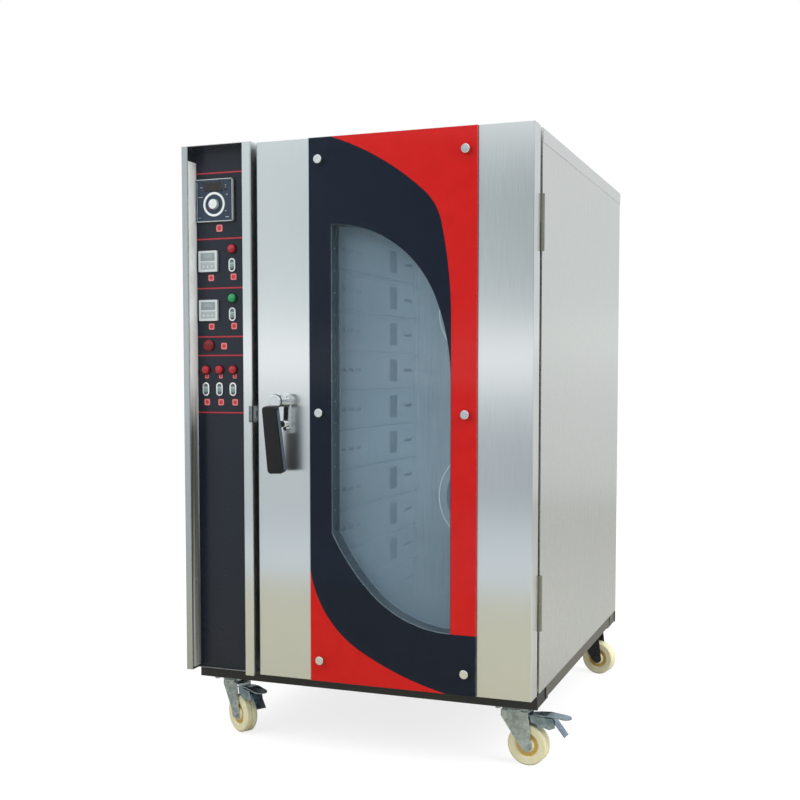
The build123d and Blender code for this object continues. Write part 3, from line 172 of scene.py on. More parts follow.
# Sheet steel skins. The real cabinet is brushed stainless sheet, folded at its edges, with the grain running up and
# down. The sheets are 1.5 mm thick, their bends catch a thin bright line, and handling leaves faint cloudy marks.
def surface(name, dark, light, rough, spread=0.06, metallic=0.0, scale=400.0, stretch=(1.0, 1.0, 1.0), bump=0.15,
            edge=0.8, worn=None, clouds=1.5, brushed=0.0, **sockets):
    """A procedural material: fine grain in colour, roughness and bump, slow clouds, and rounded, worn edges.
    scale and clouds count waves in a metre, so 400 is a grain of 2.5 mm. stretch is the grain's length along each
    axis, edge the rounding in millimetres, and brushed how far upright grain spreads reflections sideways."""
    made = bpy.data.materials.new(name)
    made.use_nodes = True
    tree = made.node_tree
    shader = tree.nodes["Principled BSDF"]
    place = node(tree, "ShaderNodeTexCoord").outputs["Object"]
    run = node(tree, "ShaderNodeMapping", {"Vector": place, "Scale": [1.0 / s for s in stretch]})
    grain = node(tree, "ShaderNodeTexNoise", {"Vector": run.outputs[0], "Scale": scale, "Detail": 4.0})
    cloud = node(tree, "ShaderNodeTexNoise", {"Vector": place, "Scale": clouds, "Detail": 5.0, "Roughness": 0.6})
    both = node(tree, "ShaderNodeMath", {0: grain.outputs["Fac"], 1: cloud.outputs["Fac"]}, operation="ADD")
    level = node(tree, "ShaderNodeMapRange", {"Value": both.outputs[0], "From Min": 0.7, "From Max": 1.3})
    tint = ramp(tree, level.outputs["Result"], [(0.0, dark), (1.0, light)])
    gloss = node(tree, "ShaderNodeMapRange", {
        "Value": both.outputs[0], "From Min": 0.7, "From Max": 1.3,
        "To Min": rough - spread, "To Max": rough + spread})
    soft = node(tree, "ShaderNodeBevel", {"Radius": edge / 1000}, samples=4)
    if worn:
        flat = node(tree, "ShaderNodeNewGeometry").outputs["Normal"]
        turn = node(tree, "ShaderNodeVectorMath", {0: soft.outputs[0], 1: flat}, operation="DOT_PRODUCT")
        rub = node(tree, "ShaderNodeMapRange", {"Value": turn.outputs["Value"], "From Min": 0.99, "From Max": 0.75})
        mixed = node(tree, "ShaderNodeMix", {
            "Factor": rub.outputs["Result"], 6: tint, 7: colour(worn)}, data_type="RGBA")
        tint = mixed.outputs[2]
    relief = node(tree, "ShaderNodeBump", {
        "Height": grain.outputs["Fac"], "Strength": bump, "Distance": 0.0004, "Normal": soft.outputs[0]})
    tree.links.new(tint, shader.inputs["Base Color"])
    tree.links.new(gloss.outputs["Result"], shader.inputs["Roughness"])
    tree.links.new(relief.outputs[0], shader.inputs["Normal"])
    shader.inputs["Metallic"].default_value = metallic
    if brushed:
        flat = node(tree, "ShaderNodeNewGeometry").outputs["Normal"]
        sideways = node(tree, "ShaderNodeVectorMath", {0: flat, 1: (0.01, 0.02, 1.0)}, operation="CROSS_PRODUCT")
        tree.links.new(sideways.outputs[0], shader.inputs["Tangent"])
        shader.inputs["Anisotropic"].default_value = brushed
    for key, value in sockets.items():
        shader.inputs[key.replace("_", " ")].default_value = value
    return made


def dress(material, *names):
    """Gives CAD nodes a material."""
    for name in names:
        slots = frame["nodes"][name].data.materials
        slots.clear()
        slots.append(material)


upright = (1.0, 1.0, 60.0)
# Brushed sheet mirrors the room softly and smears it sideways. Its grain is drawn 1.1 mm wide, coarser than the real
# scratches, so that it shows.
brushed = surface("brushed_stainless_sheet", "dde0e1", "e5e8e9", 0.20, 0.02, 1.0, 900.0, upright, 0.02, 1.2, "f4f6f6",
                  brushed=0.85)
dress(brushed, "door_skin", "door_post", "top_cover")
# Satin sheet is duller and even, with a grain of 1.4 mm.
satin = surface("satin_stainless_sheet", "d3d6d5", "d8dad9", 0.27, 0.015, 1.0, 700.0, upright, 0.01, 1.0, "ffffff")
dress(satin, "right_side_panel", "back_panel", "exhaust_stub", "front_frame", "door_inner_panel")
# The left side panel's stainless is the same sheet painted darker: a painted shade.
shaded_stainless = surface("scuffed_stainless_sheet", "b4b8ba", "c0c4c6", 0.24, 0.03, 1.0, 900.0, upright, 0.02, 1.2, "f4f6f6")
dress(shaded_stainless, "left_side_panel")
# Galvanised sheet is grey and matt, with spangles of about 17 mm.
galvanised = surface("galvanised_sheet", "9ba1a3", "bcc2c4", 0.46, 0.08, 1.0, 60.0, bump=0.05, clouds=6.0)
dress(galvanised, "bottom_pan", "inner_partitions")


# Painted highlight on the left flange. A thin white strip on the inner side of the left flange paints the bright light
# that this side reflects. It is white in its upper part and breaks into dark upright streaks below the switches.
def prism(shape, outline, y0, y1):
    """Adds a flat closed form to a bmesh: outline is a list of (x, z), and it runs from y0 to y1."""
    near = [shape.verts.new((x, y0, z)) for x, z in outline]
    far = [shape.verts.new((x, y1, z)) for x, z in outline]
    shape.faces.new(near)
    shape.faces.new(far[::-1])
    for i in range(len(outline)):
        k = (i + 1) % len(outline)
        shape.faces.new((near[k], near[i], far[i], far[k]))


def rounded(x, z, width, height, radius, steps=5):
    """The outline of a rectangle with round corners about (x, z)."""
    points = []
    for corner, (sx, sz) in enumerate(((1, 1), (-1, 1), (-1, -1), (1, -1))):
        for i in range(steps + 1):
            a = math.pi / 2 * (corner + i / steps)
            points.append((x + sx * (width / 2 - radius) + radius * math.cos(a),
                           z + sz * (height / 2 - radius) + radius * math.sin(a)))
    return points


def piece(name, shape, material, body, smooth=False):
    """Turns a bmesh into an object that rides on a body."""
    bmesh.ops.recalc_face_normals(shape, faces=shape.faces)
    mesh = bpy.data.meshes.new(name)
    shape.to_mesh(mesh)
    shape.free()
    mesh.materials.append(material)
    if smooth:
        mesh.shade_smooth()
        mesh.set_sharp_from_angle(angle=math.radians(35))
    made = bpy.data.objects.new(name, mesh)
    scene.collection.objects.link(made)
    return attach(made, body)


mm = 0.001
# The painted highlight is a soft white with a mottle of about 11 mm. The streaks are 13 mm apart and some 80 times as
# long.
flange_highlight = surface("milky_protective_film", "eef1f1", "fdfefe", 0.3, 0.08, scale=90.0, stretch=(1.0, 1.0, 5.0), bump=0.05,
               clouds=9.0)
white_above, streaked_below = 0.86, 0.72
tree = flange_highlight.node_tree
shader = tree.nodes["Principled BSDF"]
place = node(tree, "ShaderNodeTexCoord").outputs["Object"]
up = node(tree, "ShaderNodeSeparateXYZ", {0: place}).outputs["Z"]
run = node(tree, "ShaderNodeMapping", {"Vector": place, "Scale": (1.0, 1.0, 0.012)})
streak = node(tree, "ShaderNodeTexNoise", {"Vector": run.outputs[0], "Scale": 75.0, "Detail": 3.0})
dark_streaks = ramp(tree, streak.outputs["Fac"], [(0.36, "56544f"), (0.47, "8a8a86"), (0.56, "d5d8d7")])
streaking = node(tree, "ShaderNodeMapRange", {"Value": up, "From Min": white_above, "From Max": streaked_below})
highlight_white = shader.inputs["Base Color"].links[0].from_socket
mixed = node(tree, "ShaderNodeMix", {"Factor": streaking.outputs[0], 6: highlight_white, 7: dark_streaks}, data_type="RGBA")
tree.links.new(mixed.outputs[2], shader.inputs["Base Color"])
flange_low, flange_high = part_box("left_side_panel")
door_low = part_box("door_skin")[0]
foot = door_low.z
highlight_foot, highlight_top = foot + 0.004, foot + 1.168
highlight_x = flange_high.x + 0.2 * mm
strip = bmesh.new()
prism(strip, [(flange_high.x, highlight_foot), (highlight_x, highlight_foot), (highlight_x, highlight_top), (flange_high.x, highlight_top)],
      flange_low.y + 2.5 * mm, flange_low.y + 38.0 * mm)
piece("flange_film", strip, flange_highlight, "cabinet")


# Control panel. A black lacquered steel plate is screen printed with thin red rules between the groups of controls, and
# with a pink square, red in its middle, by each control. Each coat of ink stands a tenth of a millimetre proud.
panel_low, panel_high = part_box("control_panel")
panel_face = panel_low.y
panel_x = (panel_low.x + panel_high.x) / 2
rule_length = panel_high.x - panel_low.x - 2.0 * mm
rule_width = 3.4 * mm
ink_coat = 0.1 * mm
edge_x = door_low.x
# The lacquer is smooth and half glossy, with a faint 6 mm waviness. The inks are matt.
lacquer = surface("black_lacquered_plate", "181d29", "1d2330", 0.24, 0.04, scale=180.0, bump=0.04, clouds=3.0,
                  worn="3a3e46", Specular_IOR_Level=0.36)
dress(lacquer, "control_panel")
red_ink = surface("red_screen_ink", "a52330", "b82f3a", 0.45, scale=500.0)
pink_ink = surface("pink_screen_ink", "e07276", "ee8c8e", 0.45, scale=500.0)
deep_ink = surface("deep_red_screen_ink", "b7282e", "cc383c", 0.45, scale=500.0)
rules = bmesh.new()
for z in (1.1438, 0.9946, 0.8821, 0.7710, 0.7281, 0.5965):
    prism(rules, rounded(panel_x, foot + z, rule_length, rule_width, 0.0003), panel_face - ink_coat, panel_face)
piece("panel_rules", rules, red_ink, "cabinet")
signs = bmesh.new()
symbols = bmesh.new()
for n, (x, z, size) in enumerate((
        (-0.109, 1.0185, 0.016), (-0.1315, 0.906, 0.0145), (-0.0735, 0.907, 0.0145), (-0.1315, 0.7945, 0.0145),
        (-0.073, 0.795, 0.0145), (-0.0995, 0.7495, 0.015), (-0.145, 0.680, 0.0095), (-0.1087, 0.680, 0.0095),
        (-0.0725, 0.680, 0.0095), (-0.145, 0.6205, 0.0145), (-0.1085, 0.6205, 0.0145), (-0.072, 0.6205, 0.0145))):
    x, z = edge_x + x, foot + z
    prism(signs, rounded(x, z, size, size, size / 5), panel_face - ink_coat, panel_face)
    prism(symbols, rounded(x, z, size * 0.6, size * 0.6, size * (0.3 if n % 2 else 0.1)),
          panel_face - 2 * ink_coat, panel_face - ink_coat)
piece("panel_sign_squares", signs, pink_ink, "cabinet")
piece("panel_sign_centres", symbols, deep_ink, "cabinet")


# Temperature controller. A moulded silver bezel on a rubber seal holds a blue-black face with a dark display, a printed
# white dial with its scale dots, three small keys, a red pointer and a turned metal knob set low in the dial.
def turned(shape, profile, centre, axis=(0.0, -1.0, 0.0), steps=48):
    """Adds a turned form: profile is a list of (radius, distance along axis from centre)."""
    turn = Vector((0.0, 0.0, 1.0)).rotation_difference(Vector(axis)).to_matrix()
    rings = []
    for radius, along in profile:
        if radius < 1e-7:
            rings.append([shape.verts.new(Vector(centre) + turn @ Vector((0, 0, along)))])
            continue
        rings.append([shape.verts.new(Vector(centre) + turn @ Vector((
            radius * math.cos(math.tau * i / steps), radius * math.sin(math.tau * i / steps), along)))
            for i in range(steps)])
    for low, high in zip(rings, rings[1:]):
        for i in range(steps):
            k = (i + 1) % steps
            corners = [low[i % len(low)], low[k % len(low)], high[k % len(high)], high[i % len(high)]]
            corners = [v for n, v in enumerate(corners) if v not in corners[:n]]
            if len(corners) > 2:
                shape.faces.new(corners)


bezel_low, bezel_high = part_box("temperature_controller")
recess = 2.5 * mm
face_y = bezel_low.y + recess
front_y = face_y - 0.3 * mm
knob_low, knob_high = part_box("controller_knob")
dial_x = (knob_low.x + knob_high.x) / 2
dial_z = (knob_low.z + knob_high.z) / 2
bezel_x = (bezel_low.x + bezel_high.x) / 2
bezel_z = (bezel_low.z + bezel_high.z) / 2
bezel_size = bezel_high.x - bezel_low.x
# The mouldings have a soft gloss and a spark texture, drawn 1 to 2 mm wide, coarser than the real one, so that it
# shows. The display is smoother and darker, the print and the seal matt, and the aluminium knob bright with polished
# edges.
silver_plastic = surface("silver_moulded_plastic", "c3c9cc", "d6dbdd", 0.35, scale=900.0, bump=0.15, edge=0.5)
face_plastic = surface("blue_black_plastic", "1e2d40", "273a50", 0.35, scale=700.0, bump=0.15)
white_ink = surface("white_screen_ink", "dde1e2", "eff2f2", 0.5, scale=500.0)
silver = surface("turned_aluminium", "dcdfe0", "f2f3f3", 0.3, metallic=0.6, scale=600.0, edge=0.4, worn="ffffff")
dark_glass = surface("dark_display_glass", "1d1719", "2a2124", 0.2, 0.04, scale=200.0, bump=0.0)
rubber_black = surface("black_seal_rubber", "101011", "1a1a1b", 0.6, scale=600.0, bump=0.2)
dress(silver_plastic, "temperature_controller")
seal = bmesh.new()
seal_size = bezel_size + 2.2 * mm
prism(seal, rounded(bezel_x, bezel_z, seal_size, seal_size, 0.003), panel_face - 1.0 * mm, panel_face)
piece("controller_seal", seal, rubber_black, "cabinet")
face = bmesh.new()
face_size = bezel_size - 8.6 * mm
prism(face, rounded(bezel_x, bezel_z, face_size, face_size, 0.001), front_y, face_y)
band = 2.6 * mm
inner = bezel_size / 2 - 2.8 * mm
for side in (-1, 1):
    prism(face, rounded(bezel_x + side * inner, bezel_z, band, bezel_size - 3.0 * mm, 0.0005),
          bezel_low.y - 0.2 * mm, bezel_low.y)
    prism(face, rounded(bezel_x, bezel_z + side * inner, bezel_size - 8.2 * mm, band, 0.0005),
          bezel_low.y - 0.2 * mm, bezel_low.y)
piece("controller_face", face, face_plastic, "cabinet")
display = bmesh.new()
prism(display, rounded(bezel_x - 2.4 * mm, bezel_z + 30.2 * mm, 0.0464, 0.0195, 0.001),
      bezel_low.y - 0.1 * mm, front_y)
for z in (33.5, 28.5, 23.5):
    prism(display, rounded(bezel_x + 30.0 * mm, bezel_z + z * mm, 0.0075, 0.0032, 0.0006),
          front_y - 0.4 * mm, front_y)
piece("controller_display", display, dark_glass, "cabinet")
dial = bmesh.new()
turned(dial, [(0.0224, 0.0), (0.0224, 0.0012), (0.0276, 0.0012), (0.0276, 0.0), (0.0224, 0.0)],
       (dial_x, front_y, dial_z), steps=72)
dial_drop = (dial_z - bezel_z) / mm
for x, z, width in ((-35.0, dial_drop + 17.0, 11.0), (-33.0, 30.0, 5.0), (-38.0, -38.5, 4.0), (33.5, -38.5, 8.0),
                    (33.0, 12.0, 4.5), (30.0, -25.0, 3.5), (30.0, 33.5, 3.0), (30.0, 28.5, 3.0)):
    prism(dial, rounded(bezel_x + x * mm, bezel_z + z * mm, width * mm, 0.0010, 0.0003), front_y - 0.5 * mm, front_y)
piece("controller_dial_print", dial, white_ink, "cabinet", smooth=True)
dots = bmesh.new()
dot_circle = 17.2 * mm
for i in range(9):
    a = math.radians(-20.0 + 20.0 * i)
    turned(dots, [(0.0, 0.0003), (0.0006, 0.0002), (0.0006, 0.0)],
           (dial_x + dot_circle * math.sin(a), front_y, dial_z + dot_circle * math.cos(a)), steps=10)
scale_circle = 22.9 * mm
for i in range(21):
    a = math.radians(-135.0 + 13.5 * i)
    side = Vector((math.cos(a), 0.0, -math.sin(a))) * 0.18 * mm
    out = Vector((math.sin(a), 0.0, math.cos(a)))
    start = Vector((dial_x, 0.0, dial_z)) + out * scale_circle
    end = start + out * (2.8 * mm if i % 5 == 0 else 1.8 * mm)
    corners = [start + side, start - side, end - side, end + side]
    prism(dots, [(v.x, v.z) for v in corners], front_y - 1.3 * mm, front_y - 1.2 * mm)
piece("controller_scale", dots, face_plastic, "cabinet")
knob = bmesh.new()
turned(knob, [(0.0, 0.0080), (0.0098, 0.0080), (0.0111, 0.0070), (0.0114, 0.0010), (0.0120, 0.0003), (0.0, 0.0003)],
       (dial_x, front_y, dial_z), steps=64)
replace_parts(piece("controller_turning_knob", knob, silver, "controller_knob", smooth=True), "controller_knob")
pointer = bmesh.new()
pointer_circle = 14.5 * mm
a = math.radians(225.0)
turned(pointer, [(0.0, 0.0010), (0.0012, 0.0008), (0.0016, 0.0004), (0.0016, 0.0)],
       (dial_x + pointer_circle * math.sin(a), front_y, dial_z + pointer_circle * math.cos(a)), steps=14)
piece("controller_pointer", pointer, deep_ink, "controller_knob", smooth=True)


# Timers. Two small silver instruments, moulded in plastic and snapped into the panel. Each has a grey liquid crystal
# window with a paler digit area, and three silver keys in a grey field. The window looks half glossy, the field matt.
lcd = surface("liquid_crystal_window", "838d93", "959ea3", 0.25, 0.03, scale=300.0, bump=0.02)
lcd_pale = surface("liquid_crystal_digits", "929ca1", "9ca6aa", 0.25, 0.03, scale=300.0, bump=0.02)
timer_low, timer_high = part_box("timers")
dress(silver_plastic, "timers")
timer_x = (timer_low.x + timer_high.x) / 2
key_grey = surface("grey_key_field", "9ea6aa", "b0b7ba", 0.4, scale=500.0, bump=0.15)
windows = bmesh.new()
digits = bmesh.new()
fields = bmesh.new()
timer_size = 0.048
window_width = 36.4 * mm
timer_face = timer_low.y
for top in (timer_high.z, timer_low.z + timer_size):
    prism(windows, rounded(timer_x, top - 14.0 * mm, window_width, 0.0184, 0.0006),
          timer_face + 0.5 * mm, timer_face + 0.9 * mm)
    prism(digits, rounded(timer_x + 1.0 * mm, top - 13.0 * mm, 0.021, 0.009, 0.0006),
          timer_face + 0.3 * mm, timer_face + 0.5 * mm)
    prism(fields, rounded(timer_x, top - 34.5 * mm, window_width, 0.0160, 0.0006),
          timer_face + 0.6 * mm, timer_face + 0.9 * mm)
piece("timer_key_fields", fields, key_grey, "cabinet")
piece("timer_windows", windows, lcd, "cabinet")
piece("timer_digit_areas", digits, lcd_pale, "cabinet")


# Pilot lamps and buzzer. Each lamp is an acrylic dome in a black ring, held by a nut behind the panel. Four domes are
# red and one is green, and the buzzer is a larger dark red cap with four sound holes.

# The lenses are glossy with a clear coat, and the cap is half glossy.
lamp_red = surface("red_acrylic_lens", "a4081a", "bc1026", 0.16, 0.03, scale=250.0, bump=0.03, edge=0.3,
                   Coat_Weight=0.4)
lamp_green = surface("green_acrylic_lens", "0c8a4c", "1fb56b", 0.16, 0.03, scale=250.0, bump=0.03, edge=0.3,
                     Coat_Weight=0.4)
cap_red = surface("dark_red_moulded_cap", "6f0d14", "8a141c", 0.3, scale=400.0, bump=0.1, edge=0.6)
cap_outline = [(0.0, 0.0098), (0.006, 0.0094), (0.0105, 0.0076), (0.0132, 0.0045), (0.0132, 0.0)]
hole_rim = [(0.0, 0.0), (0.0012, 0.0), (0.0012, 0.001), (0.0018, 0.001), (0.0018, -0.002)]
dome_outline = [(0.0, 0.0099), (0.0036, 0.0096), (0.0072, 0.0084), (0.0094, 0.0062), (0.0101, 0.003), (0.0101, 0.0)]
ring_outline = [(0.0100, 0.0024), (0.0108, 0.0028), (0.0115, 0.0020), (0.0117, 0.0), (0.008, 0.0), (0.008, -0.026),
                (0.0, -0.026)]
nut_outline = [(0.0080, -0.002), (0.011, -0.002), (0.011, -0.006), (0.008, -0.006)]
lamp_rings = bmesh.new()
cap = bmesh.new()
for n, (x, z, lens) in enumerate((
        (-0.076, 0.9705, lamp_red), (-0.076, 0.8585, lamp_green), (-0.1465, 0.695, lamp_red), (-0.111, 0.695, lamp_red),
        (-0.076, 0.695, lamp_red), (-0.138, 0.751, cap_red))):
    x, z = edge_x + x, foot + z
    if lens is cap_red:
        turned(cap, cap_outline, (x, panel_face, z), steps=40)
        for i in range(4):
            turned(cap, hole_rim, (x - 0.006 + 0.004 * i, panel_face - 9.0 * mm, z + 0.002 * (i % 2)), steps=12)
        piece("buzzer_cap", cap, cap_red, "cabinet", smooth=True)
    else:
        dome = bmesh.new()
        turned(dome, dome_outline, (x, panel_face, z), steps=32)
        piece(f"lamp_lens_{n + 1}", dome, lens, "cabinet", smooth=True)
    turned(lamp_rings, ring_outline, (x, panel_face, z), steps=40)
    turned(lamp_rings, nut_outline, (x, panel_face, z), steps=6)
rings = piece("lamp_rings", lamp_rings, rubber_black, "cabinet", smooth=True)
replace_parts(rings, "pilot_lamps_and_buzzer")


# Rocker switches. Each rocker is moulded nylon, grey-green in the middle, with dark ends of painted shade where its
# ring shades it and one pale stripe of painted highlight. It tips in an oval ring that is plated bright chrome and
# mirrors what is round it.
rocker = surface("rocker_nylon", "6f7b78", "8f9b97", 0.35, scale=600.0, edge=0.4)
tree = rocker.node_tree
shader = tree.nodes["Principled BSDF"]
parts = node(tree, "ShaderNodeSeparateXYZ", {0: node(tree, "ShaderNodeTexCoord").outputs["Generated"]})
# Up the rocker, from bottom to top: painted shade, the nylon's own grey-green, a pale painted highlight, painted shade.
rocker_shade_and_highlight = ramp(tree, parts.outputs["Z"], [(0.0, "4d5c60"), (0.20, "55666a"), (0.28, "6f8586"), (0.60, "7f9594"),
                                        (0.68, "b9c6c6"), (0.76, "5b6c70"), (1.0, "4a585c")])
tree.links.new(rocker_shade_and_highlight, shader.inputs["Base Color"])
dress(rocker, "rocker_1", "rocker_2", "rocker_3", "rocker_4", "rocker_5")
plated = surface("bright_chrome_plate", "dadcde", "f4f5f5", 0.07, 0.03, 1.0, 40.0, bump=0.03, edge=0.5, worn="ffffff")
dress(plated, "rocker_bezels")


# Fasteners. Rivets hold the folded band round the window, hexagon bolts the castor plates, and round headed screws the
# back panel. Each row is one head repeated, and every head is turned by chance as a real one is.
head_row = bpy.data.node_groups.new("row_of_heads", "GeometryNodeTree")
head_row.interface.new_socket("Geometry", in_out="INPUT", socket_type="NodeSocketGeometry")
for label, kind in (("Count", "Int"), ("Start", "Vector"), ("Step", "Vector"), ("Turn", "Vector"),
                    ("Metal", "Material")):
    head_row.interface.new_socket(label, in_out="INPUT", socket_type="NodeSocket" + kind)
head_row.interface.new_socket("Geometry", in_out="OUTPUT", socket_type="NodeSocketGeometry")
given = node(head_row, "NodeGroupInput").outputs
line = node(head_row, "GeometryNodeMeshLine", {
    "Count": given["Count"], "Start Location": given["Start"], "Offset": given["Step"]}, mode="OFFSET")
heads = node(head_row, "GeometryNodeInstanceOnPoints", {
    "Points": line.outputs["Mesh"], "Instance": given["Geometry"], "Rotation": given["Turn"]})
chance = node(head_row, "FunctionNodeRandomValue", {
    "Max": (0.0, 0.0, math.tau), "Seed": 7}, data_type="FLOAT_VECTOR")
spun = node(head_row, "GeometryNodeRotateInstances", {
    "Instances": heads.outputs["Instances"], "Rotation": chance.outputs["Value"], "Local Space": True})
solid = node(head_row, "GeometryNodeRealizeInstances", {"Geometry": spun.outputs["Instances"]})
metal = node(head_row, "GeometryNodeSetMaterial", {"Geometry": solid.outputs["Geometry"], "Material": given["Metal"]})
node(head_row, "NodeGroupOutput", {"Geometry": metal.outputs["Geometry"]})


def row(name, head, steps, material, body, count, start, step, turn):
    """Repeats a turned head, made along Z, in a straight row."""
    shape = bmesh.new()
    turned(shape, head, (0.0, 0.0, 0.0), axis=(0.0, 0.0, 1.0), steps=steps)
    bmesh.ops.recalc_face_normals(shape, faces=shape.faces)
    mesh = bpy.data.meshes.new(name)
    shape.to_mesh(mesh)
    shape.free()
    made = bpy.data.objects.new(name, mesh)
    scene.collection.objects.link(made)
    repeat = made.modifiers.new("row", "NODES")
    repeat.node_group = head_row
    for label, value in (("Count", count), ("Start", start), ("Step", step), ("Turn", turn), ("Metal", material)):
        repeat[next(s.identifier for s in head_row.interface.items_tree if s.name == label)] = value
    live = made.evaluated_get(bpy.context.evaluated_depsgraph_get())
    whole = bpy.data.meshes.new_from_object(live)
    made.modifiers.remove(repeat)
    made.data = whole
    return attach(made, body)


# Zinc plate is a cool grey with clouds of about 40 mm and bright rubbed edges.
zinc = surface("zinc_plated_steel", "8c999e", "ccd6d8", 0.27, 0.08, 0.95, 90.0, bump=0.06, clouds=24.0, edge=0.8,
               worn="eef3f3")
rivet = [(0.0, 0.0011), (0.0011, 0.0009), (0.0019, 0.0003), (0.002, -0.0004)]
rivet_pitch = 0.048
band_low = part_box("window_surround")[0]
row("window_band_rivets", rivet, 14, plated, "door", 14, (band_low.x + 1.5 * mm, band_low.y + 15.0 * mm, foot + 0.960),
    (0.0, 0.0, -rivet_pitch), (0.0, math.pi / 2, 0.0))
screw = [(0.0, 0.0016), (0.0022, 0.0014), (0.0036, 0.0006), (0.0038, -0.0003)]
screw_count = 9
back_low, back_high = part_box("back_panel")
screw_pitch = (back_high.z - back_low.z - 0.08) / (screw_count - 1)
for n, x in enumerate((back_low.x + 0.012, back_high.x - 0.012)):
    row(f"back_panel_screws_{n + 1}", screw, 18, zinc, "cabinet", screw_count, (x, back_high.y, back_low.z + 0.04),
        (0.0, 0.0, screw_pitch), (-math.pi / 2, 0.0, 0.0))
bolt = [(0.0, 0.0048), (0.0056, 0.0048), (0.0066, 0.0040), (0.0066, -0.0002)]
plate_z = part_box("caster_plates")[1].z - 3.5 * mm
bolt_spread, bolt_pitch = 0.029, 0.074
for joint in frame["joints"]:
    if joint["name"].endswith("_swivel"):
        x, y = joint["pos_m"][:2]
        for n, side in enumerate((-bolt_spread, bolt_spread)):
            row(f"{joint['name'][:-7]}_plate_bolts_{n + 1}", bolt, 6, zinc, "cabinet", 2,
                (x + side, y - bolt_pitch / 2, plate_z), (0.0, bolt_pitch, 0.0), (math.pi, 0.0, 0.0))


# Door window. A toughened glass sheet over the whole middle of the door is printed on its back: black round the
# window, red in two corners. The recess behind it is a folded stainless band with a row of rivets.

# Clear float glass: seen through straight on, it mirrors the room more and more at a slant. Only its outer faces
# mirror, and faint smears of about 110 mm vary the polish.
clear = bpy.data.materials.new("toughened_clear_glass")
clear.use_nodes = True
tree = clear.node_tree
tree.nodes.clear()
smear = node(tree, "ShaderNodeTexNoise", {"Vector": node(tree, "ShaderNodeTexCoord").outputs["Object"], "Scale": 9.0,
                                          "Detail": 4.0})
polish = node(tree, "ShaderNodeMapRange", {"Value": smear.outputs["Fac"], "To Min": 0.01, "To Max": 0.05})
sheen = node(tree, "ShaderNodeBsdfAnisotropic", {"Color": colour("eef4f8"), "Roughness": polish.outputs[0]})
through = node(tree, "ShaderNodeBsdfTransparent", {"Color": colour("f6fafb")})
tilt = node(tree, "ShaderNodeLayerWeight", {"Blend": 0.5}).outputs["Facing"]
slant = node(tree, "ShaderNodeMath", {0: tilt, 1: 5.0}, operation="POWER")
share = node(tree, "ShaderNodeMapRange", {"Value": slant.outputs[0], "To Min": 0.016, "To Max": 1.0})
behind = node(tree, "ShaderNodeNewGeometry").outputs["Backfacing"]
front = node(tree, "ShaderNodeMath", {0: 1.0, 1: behind}, operation="SUBTRACT")
outside = node(tree, "ShaderNodeMath", {0: share.outputs[0], 1: front.outputs[0]}, operation="MULTIPLY")
mixed = node(tree, "ShaderNodeMixShader", {0: outside.outputs[0], 1: through.outputs[0], 2: sheen.outputs[0]})
node(tree, "ShaderNodeOutputMaterial", {"Surface": mixed.outputs[0]})
# The inner glass has a blue-white coat that veils the chamber. The enamel is flat colour with hardly any gloss of its
# own, because the glass in front has the gloss. The band is a darker, half dull steel.
milky = surface("heat_reflecting_glass", "a6bbd0", "b6cbe0", 0.06, 0.02, scale=6.0, bump=0.0, edge=0.01, Alpha=0.24)
enamel_black = surface("black_glass_enamel", "151b2a", "181e2e", 0.4, 0.04, scale=40.0, bump=0.01, edge=0.01,
                       Specular_IOR_Level=0.05)
enamel_red = surface("red_glass_enamel", "e01815", "ea1f1b", 0.4, 0.04, scale=40.0, bump=0.01, edge=0.01,
                     Specular_IOR_Level=0.05)
band_steel = surface("window_band_stainless", "6f7b84", "87929a", 0.3, 0.05, 1.0, 500.0, upright, 0.05, 0.8, "dfe5e8")
dress(clear, "front_glass")
dress(milky, "inner_glass")
ink_low, ink_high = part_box("glass_enamel")
off_glass = 0.06 * mm
ink = bpy.data.meshes.new("glass_back_print")
shape = bmesh.new()
shape.from_mesh(frame["nodes"]["glass_enamel"].data)
bmesh.ops.transform(shape, matrix=Matrix.Translation((0.0, off_glass, 0.0)), verts=shape.verts)
shape.to_mesh(ink)
shape.free()
ink.materials.clear()
ink.materials.append(enamel_black)
printed = bpy.data.objects.new("glass_back_print", ink)
scene.collection.objects.link(printed)


def dress_part(made, material, chosen):
    """Gives a second material to those flat or curved faces of an object whose corners pass the test."""
    mesh = made.data
    mesh.materials.append(material)
    root = list(range(len(mesh.vertices)))

    def find(i):
        while root[i] != i:
            root[i] = root[root[i]]
            i = root[i]
        return i

    for edge in mesh.edges:
        root[find(edge.vertices[0])] = find(edge.vertices[1])
    faces = {}
    for polygon in mesh.polygons:
        faces.setdefault(find(polygon.vertices[0]), []).append(polygon)
    for polygons in faces.values():
        points = [mesh.vertices[v].co for p in polygons for v in p.vertices]
        low = Vector([min(p[i] for p in points) for i in range(3)])
        high = Vector([max(p[i] for p in points) for i in range(3)])
        if chosen(low, high):
            for polygon in polygons:
                polygon.material_index = len(mesh.materials) - 1


def printed_red(low, high):
    """The red areas: the one along the top and right edges, and the one in the lower left corner."""
    upper = high.x > ink_high.x - mm and high.z > ink_high.z - mm and low.x > ink_low.x + mm
    lower = low.x < ink_low.x + mm and low.z < ink_low.z + mm and high.z < ink_high.z - mm
    return (upper or lower) and high.x - low.x > 20.0 * mm


dress_part(printed, enamel_red, printed_red)
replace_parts(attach(printed, "door"), "glass_enamel")
dress(band_steel, "window_surround")
dress(plated, "glass_standoffs")


# Latch handle. A chromed base plate and lever carry a broad black moulded paddle. It hangs down and widens towards its
# foot, which is nearer the door. A black rubber stop in a chromed collar stands behind it, and four screws hold the
# base.

